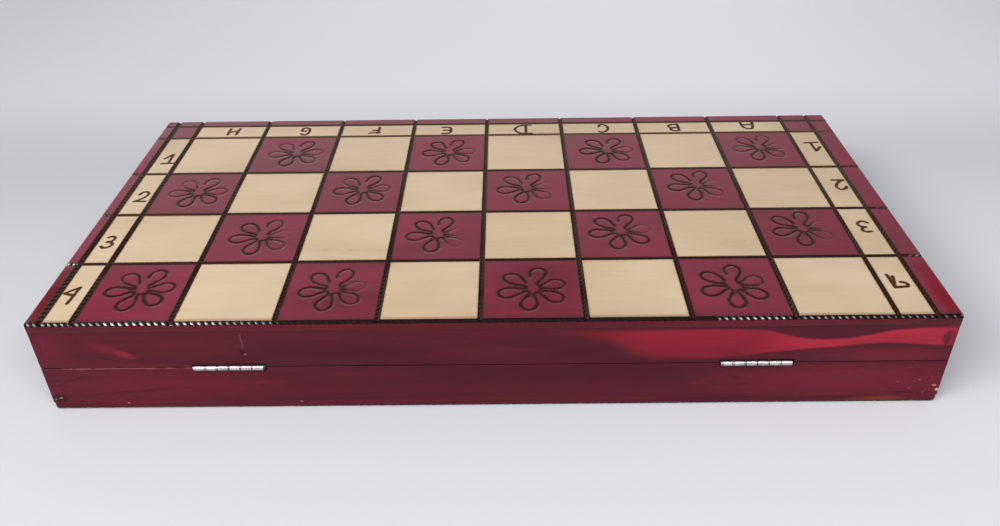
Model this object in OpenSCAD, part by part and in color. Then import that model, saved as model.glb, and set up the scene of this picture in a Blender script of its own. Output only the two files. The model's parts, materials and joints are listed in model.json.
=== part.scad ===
// Folding wooden chess box, closed and lying flat.
// Two shallow trays are hinged along one long side, and their outer faces are the two halves of the board.
// X runs along the length, the hinge side faces -Y and the latch side faces +Y.
// The case lies on the playing face of its lower half, at z = 0.

/* [Playing field] */
// Side of one square, from groove to groove
square = 42.3; // [30:0.1:60]
// Width of the squares in the column at the left end, which is narrower
first_column = 40; // [28:0.5:60]
// Squares along the length
files = 8; // [6:1:10]
// Rows of squares on each half
ranks = 4; // [3:1:5]
// Distance from the fold to where the first row of squares is measured from
fold_margin = 1.1; // [0:0.1:3]
// Border outside the left number strip
left_border = 6.5; // [3:0.5:15]
// Number strip left of the squares
left_strip = 14; // [8:0.5:25]
// Number strip right of the squares
right_strip = 16; // [8:0.5:25]
// Border outside the right number strip
right_border = 9.5; // [3:0.5:15]
// Letter strip behind the squares, on the latch side
letter_strip = 14.5; // [8:0.5:25]
// Border outside the letter strip
latch_border = 8; // [3:0.5:15]

/* [Burnt grooves] */
// Width of a groove at the playing face
groove_w = 2.6; // [1:0.1:5]
// Depth of a groove
groove_depth = 1.3; // [0.5:0.1:3]
// Width of a groove at its floor
groove_floor = 0.5; // [0.2:0.1:0.9]
// Width and depth of the half groove along the fold
fold_bevel = 1.4; // [0.5:0.1:3]

/* [Case] */
// Thickness of a playing panel
panel_t = 4.5; // [4:0.5:12]
// Radius of the eased outer edges of a playing face
edge_round = 1; // [0.3:0.1:2]
// Height of the rails
rail_h = 18.8; // [16:0.1:40]
// Thickness of the hinge rails and the latch rails
rail_t = 7; // [6.5:0.5:14]
// Thickness of the end rails
end_rail_t = 4.5; // [3:0.5:14]
// Height of the fingers that the end rails reach through each corner with
finger_h = 8; // [4:0.5:11]
// Distance from the panel to the fingers
finger_rise = 3; // [1:0.5:4]
// How far a panel overhangs the rails at each end
end_overhang = 0.5; // [0:0.1:2]
// Gap between the closed halves
closing_gap = 0.4; // [0.3:0.1:0.6]

/* [Hinges] */
// Length of a hinge
hinge_l = 29; // [24:1:50]
// Distance from the end of the case to the middle of a hinge
hinge_inset = 80.5; // [40:0.5:120]
// Radius of the knuckles
knuckle_r = 1.3; // [1.2:0.05:1.8]
// Radius of the hinge pin
pin_r = 0.6; // [0.4:0.05:0.8]
// Radius of the pin's riveted head
pin_head_r = 1; // [0.9:0.05:1.2]
// Length of the pin's riveted head
pin_head_l = 0.8; // [0.4:0.1:1.5]
// Thickness of the hinge leaves
leaf_t = 0.7; // [0.5:0.1:0.8]
// Width of a leaf on its rail
leaf_w = 5.8; // [5:0.1:6]
// How far the pin's axis stands out from the case
axis_out = 0.35; // [0.3:0.05:0.6]

/* [Hinge screws] */
// Radius of the hinge screws
leaf_screw_r = 0.9; // [0.6:0.1:1]
// Length of the hinge screws
leaf_screw_l = 10; // [6:0.5:14]
// Distance between the two screws of a leaf
leaf_screw_pitch = 19; // [12:0.5:22]
// Distance from the face of the case to the line of hinge screws
leaf_screw_in = 3.6; // [3.2:0.1:4]

/* [Hooks] */
// Distance from the end of the case to a hook's pivot
hook_inset = 81; // [40:0.5:120]
// Height of the pivot above the joint between the halves
hook_rise = 10; // [7:0.5:11]
// Depth of the catch screw below the joint between the halves
catch_drop = 8; // [6:0.5:11]
// Thickness of a hook
hook_t = 1.2; // [0.8:0.1:2]
// Width of a hook's shank
hook_w = 3.2; // [2.4:0.1:4]
// Radius of the eye around the pivot
hook_eye_r = 3; // [2.6:0.1:4]
// Width of the metal around the claw
claw_w = 1.8; // [1.2:0.1:2.5]
// How far the thumb tab reaches past the claw
tab_reach = 2.4; // [1:0.1:4]
// Radius of the pivot screw
pivot_screw_r = 1.25; // [1:0.05:1.5]
// Radius of the catch screw
catch_screw_r = 1.2; // [1:0.05:1.5]
// Radius of the screw heads on the latch side
head_r = 2.6; // [2.3:0.1:3.5]
// Height of the screw heads on the latch side
head_h = 1.2; // [0.8:0.1:2]
// Length of the screws inside the rails
rail_screw_l = 6; // [4:0.5:6.3]

/* [Clearances] */
// Radial clearance of a turning part on its pin
running_clearance = 0.05; // [0.02:0.01:0.1]
// Gap between moving parts that never touch
free_gap = 0.3; // [0.2:0.05:0.4]

/* [Hidden] */
$fn = 48;

// Overall size of the closed case
field_l = first_column + (files - 1) * square;
field_d = fold_margin + ranks * square;
case_l = left_border + left_strip + field_l + right_strip + right_border;
case_d = field_d + letter_strip + latch_border;
half_h = panel_t + rail_h;
case_h = 2 * half_h + closing_gap;
joint_z = case_h / 2;

// The metalwork stands out on both long sides, and the origin is midway between its outermost points
knuckle_out = axis_out + knuckle_r;
hook_gap_out = free_gap;
head_in = hook_gap_out + hook_t + free_gap;
head_out = head_in + head_h;
hinge_face_y = knuckle_out - (case_d + knuckle_out + head_out) / 2;
latch_face_y = hinge_face_y + case_d;
hinge_axis_y = hinge_face_y - axis_out;

// Groove lines, from the left end and from the hinge side
left_line_x = -case_l / 2 + left_border;
squares_x = left_line_x + left_strip;
column_x = squares_x + first_column;
right_line_x = squares_x + field_l + right_strip;
file_lines = [left_line_x, squares_x, for (i = [0:files - 1]) column_x + i * square, right_line_x];
row_y = hinge_face_y + fold_margin;
letter_line_y = hinge_face_y + field_d + letter_strip;
rank_lines = [for (j = [1:ranks]) row_y + j * square, letter_line_y];

// Rails
frame_l = case_l - 2 * end_overhang;
frame_x = -frame_l / 2;

// Hinges
knuckles = 6;
knuckle_pitch = hinge_l / knuckles;
knuckle_room = knuckle_r + free_gap;
hinge_x = case_l / 2 - hinge_inset;
countersink_r = leaf_screw_r + leaf_t;
leaf_slot_w = 0.5;
leaf_slot_depth = 0.35;

// Hooks
hook_x = case_l / 2 - hook_inset;
pivot_z = joint_z + hook_rise;
catch_z = joint_z - catch_drop;
hook_span = hook_rise + catch_drop;
claw_in_r = catch_screw_r + free_gap;
claw_out_r = claw_in_r + claw_w;
tab_w = 2;
head_slot_w = 0.7;
head_slot_depth = 0.6;

// How far a cutting shape runs past the face that it opens
over = 1;

// Draws its children for the lower half, or mirrored about the joint for the upper one
module on_half(upper) {
    if (upper)
        translate([0, 0, case_h])
            mirror([0, 0, 1])
                children();
    else
        children();
}

// Lays a section drawn in Y and Z along X
module along_x(length) {
    rotate([90, 0, 90])
        linear_extrude(length)
            children();
}

// Lays a section drawn in X and Z along Y
module along_y(length) {
    translate([0, length, 0])
        rotate([90, 0, 0])
            linear_extrude(length)
                children();
}

// Long section of a panel, its playing face below, with the outer corners rounded
module panel_section(length, round_start) {
    start = round_start ? edge_round : 0;
    translate([start, 0])
        square([length - start - edge_round, panel_t]);
    translate([0, edge_round])
        square([length, panel_t - edge_round]);
    translate([length - edge_round, edge_round])
        circle(edge_round);
    if (round_start)
        translate([edge_round, edge_round])
            circle(edge_round);
}

// Section of a groove, open at the playing face, its sides sloping to a narrow floor
module groove_section() {
    half = groove_w / 2;
    floor = groove_floor / 2;
    polygon([[-half, -over], [half, -over], [half, 0], [floor, groove_depth], [-floor, groove_depth], [-half, 0]]);
}

// Section of the half groove along the fold
module fold_section() {
    polygon([[-over, -over], [fold_bevel, -over], [fold_bevel, 0], [0, fold_bevel], [-over, fold_bevel]]);
}

// Playing panel: one board, cut into squares and strips by the burnt grooves
module playing_panel() {
    difference() {
        intersection() {
            translate([-case_l / 2 - over, hinge_face_y, 0])
                along_x(case_l + 2 * over)
                    panel_section(case_d, false);
            translate([-case_l / 2, hinge_face_y - over, 0])
                along_y(case_d + 2 * over)
                    panel_section(case_l, true);
        }
        for (x = file_lines)
            translate([x, hinge_face_y - over, 0])
                along_y(case_d + 2 * over)
                    groove_section();
        for (y = rank_lines)
            translate([-case_l / 2 - over, y, 0])
                along_x(case_l + 2 * over)
                    groove_section();
        translate([-case_l / 2 - over, hinge_face_y, 0])
            along_x(case_l + 2 * over)
                fold_section();
    }
}

// Left side of an end rail
function end_rail_x(end) = end < 0 ? frame_x : frame_x + frame_l - end_rail_t;

// Corner block of one end rail's finger, at the corner given by two signs
module corner_finger(end, side) {
    y = side < 0 ? hinge_face_y : latch_face_y - rail_t;
    translate([end_rail_x(end), y, panel_t + finger_rise])
        cube([end_rail_t, rail_t, finger_h]);
}

// Long rail without its cuts for metalwork
module long_rail(side) {
    y = side < 0 ? hinge_face_y : latch_face_y - rail_t;
    difference() {
        translate([frame_x, y, panel_t])
            cube([frame_l, rail_t, rail_h]);
        for (end = [-1, 1])
            corner_finger(end, side);
    }
}

// End rail, with a finger through each corner
module end_rail(end) {
    translate([end_rail_x(end), hinge_face_y + rail_t, panel_t])
        cube([end_rail_t, case_d - 2 * rail_t, rail_h]);
    for (side = [-1, 1])
        corner_finger(end, side);
}

// Room for one hinge in a rail: the leaf's mortise, the knuckles' trough and the pilot holes
module hinge_cuts() {
    translate([-hinge_l / 2, hinge_face_y - over, half_h - leaf_t])
        cube([hinge_l, leaf_w + over, leaf_t + over]);
    hinge_cylinder(-hinge_l / 2 - pin_head_l - free_gap, hinge_l + 2 * (pin_head_l + free_gap), knuckle_room);
    leaf_screw_places()
        translate([0, 0, -leaf_screw_l])
            cylinder(r = leaf_screw_r, h = leaf_screw_l);
}

// Cylinder about the hinge axis, from x for the given length
module hinge_cylinder(x, length, radius) {
    translate([x, hinge_axis_y, joint_z])
        rotate([0, 90, 0])
            cylinder(r = radius, h = length);
}

// Places its children at the two screws of a leaf, on the leaf's outer face
module leaf_screw_places() {
    for (side = [-1, 1])
        translate([side * leaf_screw_pitch / 2, hinge_face_y + leaf_screw_in, half_h])
            children();
}

// Cone that seats a countersunk head flush with the leaf
module countersink() {
    translate([0, 0, -leaf_t])
        cylinder(r1 = leaf_screw_r, r2 = countersink_r, h = leaf_t);
}

// Hinge rail with both hinges let in
module hinge_rail() {
    difference() {
        long_rail(-1);
        for (side = [-1, 1])
            translate([side * hinge_x, 0, 0])
                hinge_cuts();
    }
}

// Latch rail with pilot holes at the given depth below the joint
module latch_rail(depth, radius) {
    difference() {
        long_rail(1);
        for (side = [-1, 1])
            translate([side * hook_x, latch_face_y - rail_screw_l, joint_z - depth])
                rotate([-90, 0, 0])
                    cylinder(r = radius, h = rail_screw_l + over);
    }
}

// One hinge leaf: a plate with every second knuckle, counted from the left
module hinge_leaf(first_knuckle, bore_r) {
    difference() {
        union() {
            translate([-hinge_l / 2, hinge_axis_y, half_h - leaf_t])
                cube([hinge_l, axis_out + leaf_w, leaf_t]);
            for (k = [first_knuckle:2:knuckles - 1])
                hinge_cylinder(knuckle_start(k), knuckle_pitch - free_gap, knuckle_r);
        }
        for (k = [1 - first_knuckle:2:knuckles - 1])
            hinge_cylinder(knuckle_start(k) - free_gap, knuckle_pitch + free_gap, knuckle_room);
        hinge_cylinder(-hinge_l / 2 - over, hinge_l + 2 * over, bore_r);
        leaf_screw_places()
            countersink();
    }
}

// Left end of a knuckle, half a gap inside its share of the hinge
function knuckle_start(k) = -hinge_l / 2 + k * knuckle_pitch + free_gap / 2;

// Hinge pin with a riveted head at its left end
module hinge_pin() {
    hinge_cylinder(-hinge_l / 2, hinge_l, pin_r);
    hinge_cylinder(-hinge_l / 2 - pin_head_l, pin_head_l, pin_head_r);
}

// The two countersunk screws of a leaf
module leaf_screws() {
    point_l = 2 * leaf_screw_r;
    leaf_screw_places()
        difference() {
            union() {
                countersink();
                translate([0, 0, point_l - leaf_screw_l])
                    cylinder(r = leaf_screw_r, h = leaf_screw_l - point_l - leaf_t);
                translate([0, 0, -leaf_screw_l])
                    cylinder(r1 = leaf_screw_r / 4, r2 = leaf_screw_r, h = point_l);
            }
            translate([-countersink_r, -leaf_slot_w / 2, -leaf_slot_depth])
                cube([2 * countersink_r, leaf_slot_w, leaf_slot_depth + over]);
        }
}

// Flat outline of a hook that points along X from its pivot, its claw open below
module hook_outline() {
    difference() {
        union() {
            circle(hook_eye_r);
            translate([0, -hook_w / 2])
                square([hook_span, hook_w]);
            translate([hook_span, 0])
                circle(claw_out_r);
            translate([hook_span, claw_in_r])
                square([claw_out_r + tab_reach - tab_w / 2, tab_w]);
            translate([hook_span + claw_out_r + tab_reach - tab_w / 2, claw_in_r + tab_w / 2])
                circle(tab_w / 2);
        }
        circle(pivot_screw_r + running_clearance);
        translate([hook_span, 0])
            circle(claw_in_r);
        claw_mouth();
    }
}

// Path of the catch screw into the claw, an arc about the pivot
module claw_mouth() {
    reach = 2 * claw_out_r;
    intersection() {
        difference() {
            circle(hook_span + claw_in_r);
            circle(hook_span - claw_in_r);
        }
        translate([hook_span - reach, -reach])
            square([2 * reach, reach]);
    }
}

// Hook, swung aside on the outer face of the upper latch rail
module hook() {
    translate([0, latch_face_y + hook_gap_out, pivot_z])
        along_y(hook_t)
            hook_outline();
}

// Slotted screw on the latch side, at the given height
module rail_screw(z, radius) {
    shank_l = rail_screw_l + head_in;
    translate([0, latch_face_y - rail_screw_l, z])
        rotate([-90, 0, 0])
            difference() {
                union() {
                    cylinder(r = radius, h = shank_l + head_h / 2);
                    translate([0, 0, shank_l])
                        screw_head();
                }
                translate([-head_r, -head_slot_w / 2, shank_l + head_h - head_slot_depth])
                    cube([2 * head_r, head_slot_w, head_slot_depth + over]);
            }
}

// Low domed head, flat underneath
module screw_head() {
    dome_r = (head_r * head_r + head_h * head_h) / (2 * head_h);
    rotate_extrude()
        intersection() {
            translate([0, head_h - dome_r])
                circle(dome_r, $fn = 96);
            square([head_r, head_h]);
        }
}

module lower_playing_panel() {
    color("firebrick")
        playing_panel();
}

module upper_playing_panel() {
    color("firebrick")
        on_half(true)
            playing_panel();
}

module lower_hinge_rail() {
    color("maroon")
        hinge_rail();
}

module upper_hinge_rail() {
    color("maroon")
        on_half(true)
            hinge_rail();
}

module lower_latch_rail() {
    color("maroon")
        latch_rail(catch_drop, catch_screw_r);
}

module upper_latch_rail() {
    color("maroon")
        on_half(true)
            latch_rail(hook_rise, pivot_screw_r);
}

module lower_left_rail() {
    color("brown")
        end_rail(-1);
}

module lower_right_rail() {
    color("brown")
        end_rail(1);
}

module upper_left_rail() {
    color("brown")
        on_half(true)
            end_rail(-1);
}

module upper_right_rail() {
    color("brown")
        on_half(true)
            end_rail(1);
}

// Places its children at the left or the right hinge
module at_hinge(side) {
    translate([side * hinge_x, 0, 0])
        children();
}

module lower_leaf(side) {
    color("silver")
        at_hinge(side)
            hinge_leaf(0, pin_r);
}

module upper_leaf(side) {
    color("silver")
        at_hinge(side)
            on_half(true)
                hinge_leaf(1, pin_r + running_clearance);
}

module pin(side) {
    color("gainsboro")
        at_hinge(side)
            hinge_pin();
}

module lower_screws(side) {
    color("lightgray")
        at_hinge(side)
            leaf_screws();
}

module upper_screws(side) {
    color("lightgray")
        at_hinge(side)
            on_half(true)
                leaf_screws();
}

// Places its children at the left or the right hook
module at_hook(side) {
    translate([side * hook_x, 0, 0])
        children();
}

module swing_hook(side) {
    color("silver")
        at_hook(side)
            hook();
}

module pivot_screw(side) {
    color("lightgray")
        at_hook(side)
            rail_screw(pivot_z, pivot_screw_r);
}

module catch_screw(side) {
    color("lightgray")
        at_hook(side)
            rail_screw(catch_z, catch_screw_r);
}

lower_playing_panel();
lower_hinge_rail();
lower_latch_rail();
lower_left_rail();
lower_right_rail();
upper_playing_panel();
upper_hinge_rail();
upper_latch_rail();
upper_left_rail();
upper_right_rail();
lower_leaf(-1);  // left_hinge_lower_leaf
upper_leaf(-1);  // left_hinge_upper_leaf
pin(-1);  // left_hinge_pin
lower_screws(-1);  // left_hinge_lower_screws
upper_screws(-1);  // left_hinge_upper_screws
lower_leaf(1);  // right_hinge_lower_leaf
upper_leaf(1);  // right_hinge_upper_leaf
pin(1);  // right_hinge_pin
lower_screws(1);  // right_hinge_lower_screws
upper_screws(1);  // right_hinge_upper_screws
swing_hook(-1);  // left_hook
pivot_screw(-1);  // left_hook_screw
catch_screw(-1);  // left_catch_screw
swing_hook(1);  // right_hook
pivot_screw(1);  // right_hook_screw
catch_screw(1);  // right_catch_screw
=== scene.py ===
"""Looks of a folding wooden chess box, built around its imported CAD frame.

The two playing panels are new pieces: every burnt groove, flower and figure is in their meshes. The rails and
the metalwork are the CAD shapes with their edges eased. Sizes of the board are in millimetres, and meshes are
in metres.
"""

import json
import logging
import math
from dataclasses import dataclass, field, replace
from enum import Enum

import bmesh
import bpy
import numpy as np
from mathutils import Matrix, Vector, geometry

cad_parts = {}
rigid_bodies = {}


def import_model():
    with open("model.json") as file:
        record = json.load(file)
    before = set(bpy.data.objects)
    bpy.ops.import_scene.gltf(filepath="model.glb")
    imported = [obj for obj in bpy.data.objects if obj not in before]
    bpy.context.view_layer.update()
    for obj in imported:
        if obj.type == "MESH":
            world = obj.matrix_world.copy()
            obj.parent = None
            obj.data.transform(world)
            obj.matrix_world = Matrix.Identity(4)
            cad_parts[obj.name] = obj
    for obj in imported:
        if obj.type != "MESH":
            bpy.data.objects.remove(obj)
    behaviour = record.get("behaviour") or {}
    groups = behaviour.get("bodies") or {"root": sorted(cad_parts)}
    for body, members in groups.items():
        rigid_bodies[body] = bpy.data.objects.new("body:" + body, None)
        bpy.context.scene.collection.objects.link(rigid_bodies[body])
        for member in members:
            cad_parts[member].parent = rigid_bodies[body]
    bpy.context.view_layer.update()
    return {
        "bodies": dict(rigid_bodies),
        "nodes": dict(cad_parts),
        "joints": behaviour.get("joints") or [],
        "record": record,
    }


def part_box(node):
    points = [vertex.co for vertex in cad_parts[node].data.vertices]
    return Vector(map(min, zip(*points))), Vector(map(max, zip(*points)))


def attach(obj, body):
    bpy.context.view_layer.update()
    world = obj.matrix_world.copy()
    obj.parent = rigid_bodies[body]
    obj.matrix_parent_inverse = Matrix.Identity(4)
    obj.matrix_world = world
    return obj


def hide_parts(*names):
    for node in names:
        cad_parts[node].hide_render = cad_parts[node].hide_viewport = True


LOG = logging.getLogger("chess_box")
MM = 0.001


class Half(Enum):
    """The two halves of the box, by the names of their CAD bodies."""

    LOWER = "lower_half"
    UPPER = "upper_half"

    @property
    def prefix(self) -> str:
        """First word of the names of this half's nodes."""
        return self.value.split("_")[0]


class Area(Enum):
    """What a face of a playing panel is, which is also its material's place in the panel's list."""

    STAINED = 0
    PALE = 1
    GROOVE = 2
    FOLD = 3
    INNER = 4
    EDGE = 5


Colour = tuple[float, float, float, float]


def srgb(red: float, green: float, blue: float) -> Colour:
    """A colour written in 0 to 255 steps, as the linear colour that a shader takes.

    Args:
        red: Red, 0 to 255.
        green: Green, 0 to 255.
        blue: Blue, 0 to 255.

    Returns:
        Linear red, green and blue, and alpha 1.
    """
    values = np.array([red, green, blue]) / 255.0
    linear = np.where(values <= 0.04045, values / 12.92, ((values + 0.055) / 1.055) ** 2.4)
    return (float(linear[0]), float(linear[1]), float(linear[2]), 1.0)


# Materials


@dataclass(frozen=True)
class Value:
    """What a material works out at each point. Arithmetic with it lays out the nodes.

    Attributes:
        graph: The material.
        socket: The output socket that carries it.
    """

    graph: "NodeGraph"
    socket: bpy.types.NodeSocket

    def __add__(self, other: "Value | float") -> "Value":
        """The sum of both."""
        return self.graph.math("ADD", self, other)

    def __sub__(self, other: "Value | float") -> "Value":
        """This value less the other."""
        return self.graph.math("SUBTRACT", self, other)

    def __rsub__(self, other: float) -> "Value":
        """A number less this value."""
        return self.graph.math("SUBTRACT", other, self)

    def __mul__(self, other: "Value | float") -> "Value":
        """The product of both."""
        return self.graph.math("MULTIPLY", self, other)

    def __truediv__(self, other: "Value | float") -> "Value":
        """This value over the other."""
        return self.graph.math("DIVIDE", self, other)

    def __abs__(self) -> "Value":
        """The value without its sign."""
        return self.graph.math("ABSOLUTE", self)

    def most(self, other: "Value | float") -> "Value":
        """The larger of both."""
        return self.graph.math("MAXIMUM", self, other)

    def least(self, other: "Value | float") -> "Value":
        """The smaller of both."""
        return self.graph.math("MINIMUM", self, other)


Input = Value | float | tuple[float, ...]
Scale = tuple[float, float, float]

# Middle of the random values, and how a pattern's shift is spread over X, Y and Z
NOISE_MIDDLE = 0.5
SHIFT_SHARES = (1.0, 0.7, 1.3)


class NodeGraph:
    """A new material and short calls that lay out its nodes."""

    def __init__(self, name: str) -> None:
        """Makes the material and finds its shader.

        Args:
            name: The material's name.
        """
        self.material = bpy.data.materials.new(name)
        self.material.use_nodes = True
        self.tree = self.material.node_tree
        self.shader = self.tree.nodes["Principled BSDF"]
        self._place: Value | None = None

    def feed(self, socket: bpy.types.NodeSocket, value: Input) -> None:
        """Links a value to an input socket, or sets the socket to a constant.

        Args:
            socket: The input socket.
            value: A value, a number or a tuple.
        """
        if isinstance(value, Value):
            self.tree.links.new(value.socket, socket)
        else:
            socket.default_value = value

    def add(self, kind: str, inputs: dict[int | str, Input], **settings: object) -> bpy.types.Node:
        """Adds a node, sets its own options, and then feeds its inputs.

        Args:
            kind: Blender's name of the node type.
            inputs: What goes into its sockets, by their names or places.
            **settings: Attributes of the node.

        Returns:
            The node.
        """
        node = self.tree.nodes.new(kind)
        for name, setting in settings.items():
            setattr(node, name, setting)
        for name, value in inputs.items():
            self.feed(node.inputs[name], value)
        return node

    def step(
        self, kind: str, inputs: dict[int | str, Input], output: int | str = 0, **settings: object
    ) -> Value:
        """Adds a node as add() does, and reads one of its outputs by its name or place."""
        return Value(self, self.add(kind, inputs, **settings).outputs[output])

    def math(self, operation: str, a: Input, b: Input = 0.0, clamp: bool = False) -> Value:
        """One step of arithmetic, by Blender's name of it, and held from 0 to 1 where clamp is true."""
        return self.step("ShaderNodeMath", {0: a, 1: b}, operation=operation, use_clamp=clamp)

    def fade(self, value: Input, low: float, high: float, start: float = 0.0, end: float = 1.0) -> Value:
        """A smooth step from start to end while value goes from low to high."""
        inputs = dict(enumerate((value, low, high, start, end)))
        return self.step("ShaderNodeMapRange", inputs, interpolation_type="SMOOTHSTEP")

    def place(self) -> Value:
        """The point on the object, in metres, which is its place in the row frame at rest."""
        if self._place is None:
            self._place = self.step("ShaderNodeTexCoord", {}, "Object")
        return self._place

    def axes(self, vector: Value | None = None) -> tuple[Value, ...]:
        """X, Y and Z of a vector, or of the point in metres where none is given."""
        node = self.add("ShaderNodeSeparateXYZ", {0: self.place() if vector is None else vector})
        return tuple(Value(self, output) for output in node.outputs)

    def noise(
        self, scale: Scale, shift: float = 0.0, detail: float = 3.0, rough: float = 0.5, bend: float = 0.0
    ) -> Value:
        """Smooth random values about NOISE_MIDDLE.

        Args:
            scale: How dense they are along each axis, so that grain can run along one of them.
            shift: Moves the pattern, so that two uses differ.
            detail: Number of finer layers.
            rough: Weight of the finer layers.
            bend: How far the pattern is distorted by itself.

        Returns:
            The value.
        """
        shifts = tuple(shift * share for share in SHIFT_SHARES)
        point = self.step("ShaderNodeMapping", {"Vector": self.place(), "Scale": scale, "Location": shifts})
        settings = {"Scale": 1.0, "Detail": detail, "Roughness": rough, "Distortion": bend}
        return self.step("ShaderNodeTexNoise", {"Vector": point, **settings})

    def ramp(self, value: Input, stops: list[tuple[float, Colour]], how: str = "LINEAR") -> Value:
        """A colour for each value.

        Args:
            value: The value, 0 to 1.
            stops: Pairs of a value and its colour, in order.
            how: Interpolation between the stops.

        Returns:
            The colour.
        """
        node = self.add("ShaderNodeValToRGB", {0: value})
        node.color_ramp.interpolation = how
        elements = node.color_ramp.elements
        while len(elements) < len(stops):
            elements.new(0.5)
        for element, (at, colour) in zip(elements, stops):
            element.position = at
            element.color = colour
        return Value(self, node.outputs[0])

    def curve(self, value: Value, points: tuple[tuple[float, float], ...], full: float) -> Value:
        """A curve through points, as a ramp of greys that is straight between them.

        Args:
            value: The value, in metres.
            points: Pairs of a value and its height, both in millimetres.
            full: The height, in metres, that is white in the ramp.

        Returns:
            The height in metres.
        """
        low, high = points[0][0], points[-1][0]
        share = self.step("ShaderNodeMapRange", {0: value, 1: low * MM, 2: high * MM})
        greys = [y * MM / full for _, y in points]
        stops = [((x - low) / (high - low), (grey, grey, grey, 1.0)) for (x, _), grey in zip(points, greys)]
        return self.ramp(share, stops) * full

    def blend(self, share: Input, a: Input, b: Input) -> Value:
        """Colour a with a share, from 0 to 1, of colour b over it."""
        return self.step("ShaderNodeMix", {"Factor": share, 6: a, 7: b}, 2, data_type="RGBA")

    def mark(self, name: str, output: str = "Fac") -> Value:
        """What the mesh holds under a name at each vertex."""
        return self.step("ShaderNodeAttribute", {}, output, attribute_name=name)

    def bump(self, height: Value, strength: float, distance: float) -> None:
        """Gives the shader relief: the share of it that shows, and the height in metres of a step of 1."""
        relief = self.step("ShaderNodeBump", {"Strength": strength, "Distance": distance, "Height": height})
        self.surface(Normal=relief)

    def surface(self, **inputs: Input) -> None:
        """Sets or links the shader's sockets, whose names have _ for a space."""
        for name, value in inputs.items():
            self.feed(self.shader.inputs[name.replace("_", " ")], value)


def along_grain(scale: Scale, along_x: bool) -> Scale:
    """The scale of a pattern along X, turned to run along Y where along_x is false."""
    return scale if along_x else (scale[1], scale[0], scale[2])


# Depth of the wood's and the grooves' fine relief, and of the metal's scratches, in metres
WOOD_RELIEF = 0.2 * MM
METAL_RELIEF = 0.05 * MM

# Y, in millimetres, of the outer face of the hinge side, and where the marks on it have faded out behind it
HINGE_FACE_Y = -96.9
MARKS_END_Y = -96.2

# Half the width of a groove across the board, in millimetres
GROOVE_HALF = 1.3

# Pale colour mixed into the grooves towards the latch side: painted sheen
GROOVE_SHEEN_PAINT = srgb(168, 152, 140)
PORE = srgb(48, 15, 20)
# Colour of the painted shade on the hinges' barrels
PAINTED_HINGE_SHADE = srgb(36, 22, 24)


@dataclass(frozen=True)
class Lacquer:
    """Gloss of the varnished wood.

    Attributes:
        level: Strength of the reflection, where 0.5 is that of glass.
        rough: Its roughness.
        smoother: How much smoother the brush marks make it at most.
        duller: How much rougher they make it at most.
    """

    level: float
    rough: float
    smoother: float = 0.07
    duller: float = 0.09

    def dress(self, graph: NodeGraph, flecks: Value) -> None:
        """Sets the gloss, with faint brush marks in its roughness.

        Args:
            graph: The material.
            flecks: Random values about NOISE_MIDDLE.
        """
        rough = graph.fade(flecks, 0.3, 0.7, self.rough - self.smoother, self.rough + self.duller)
        graph.surface(Specular_IOR_Level=self.level, Roughness=rough)


@dataclass(frozen=True)
class Patch:
    """One mark in the wood, or a band of painted shade, as a soft or a sharp spot.

    Attributes:
        place: X and height of its middle, in millimetres.
        size: Half its length and half its height, in millimetres.
        colour: Its colour.
        share: How strongly it shows.
        soft: Share of its size over which it fades out.
        tilt: How far it climbs for each millimetre along X.
        ragged: How far the grain frays its outline, as a share of its size.
        axis: The axis that counts as height: 1 for Y on the playing face, or 2 for Z on the hinge side, where
            the mark stays on the outer face.
    """

    place: tuple[float, float]
    size: tuple[float, float]
    colour: Colour
    share: float = 1.0
    soft: float = 0.6
    tilt: float = 0.0
    ragged: float = 0.5
    axis: int = 2

    def cover(self, graph: NodeGraph, fray: Value) -> Value:
        """How strongly the mark shows: it covers an ellipse about its middle.

        Args:
            graph: The material.
            fray: Random values about 0.

        Returns:
            The share.
        """
        point = graph.axes()
        along = point[0] - self.place[0] * MM
        climb = point[self.axis] - along * self.tilt
        side = along / (self.size[0] * MM)
        up = (climb - self.place[1] * MM) / (self.size[1] * MM)
        reach = graph.math("SQRT", side * side + up * up) + fray * (2 * self.ragged)
        cover = graph.fade(reach, 1.0 - self.soft, 1.0, self.share, 0.0)
        if self.axis == 2:
            cover = cover * graph.fade(point[1], HINGE_FACE_Y * MM, MARKS_END_Y * MM, 1.0, 0.0)
        return cover


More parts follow.
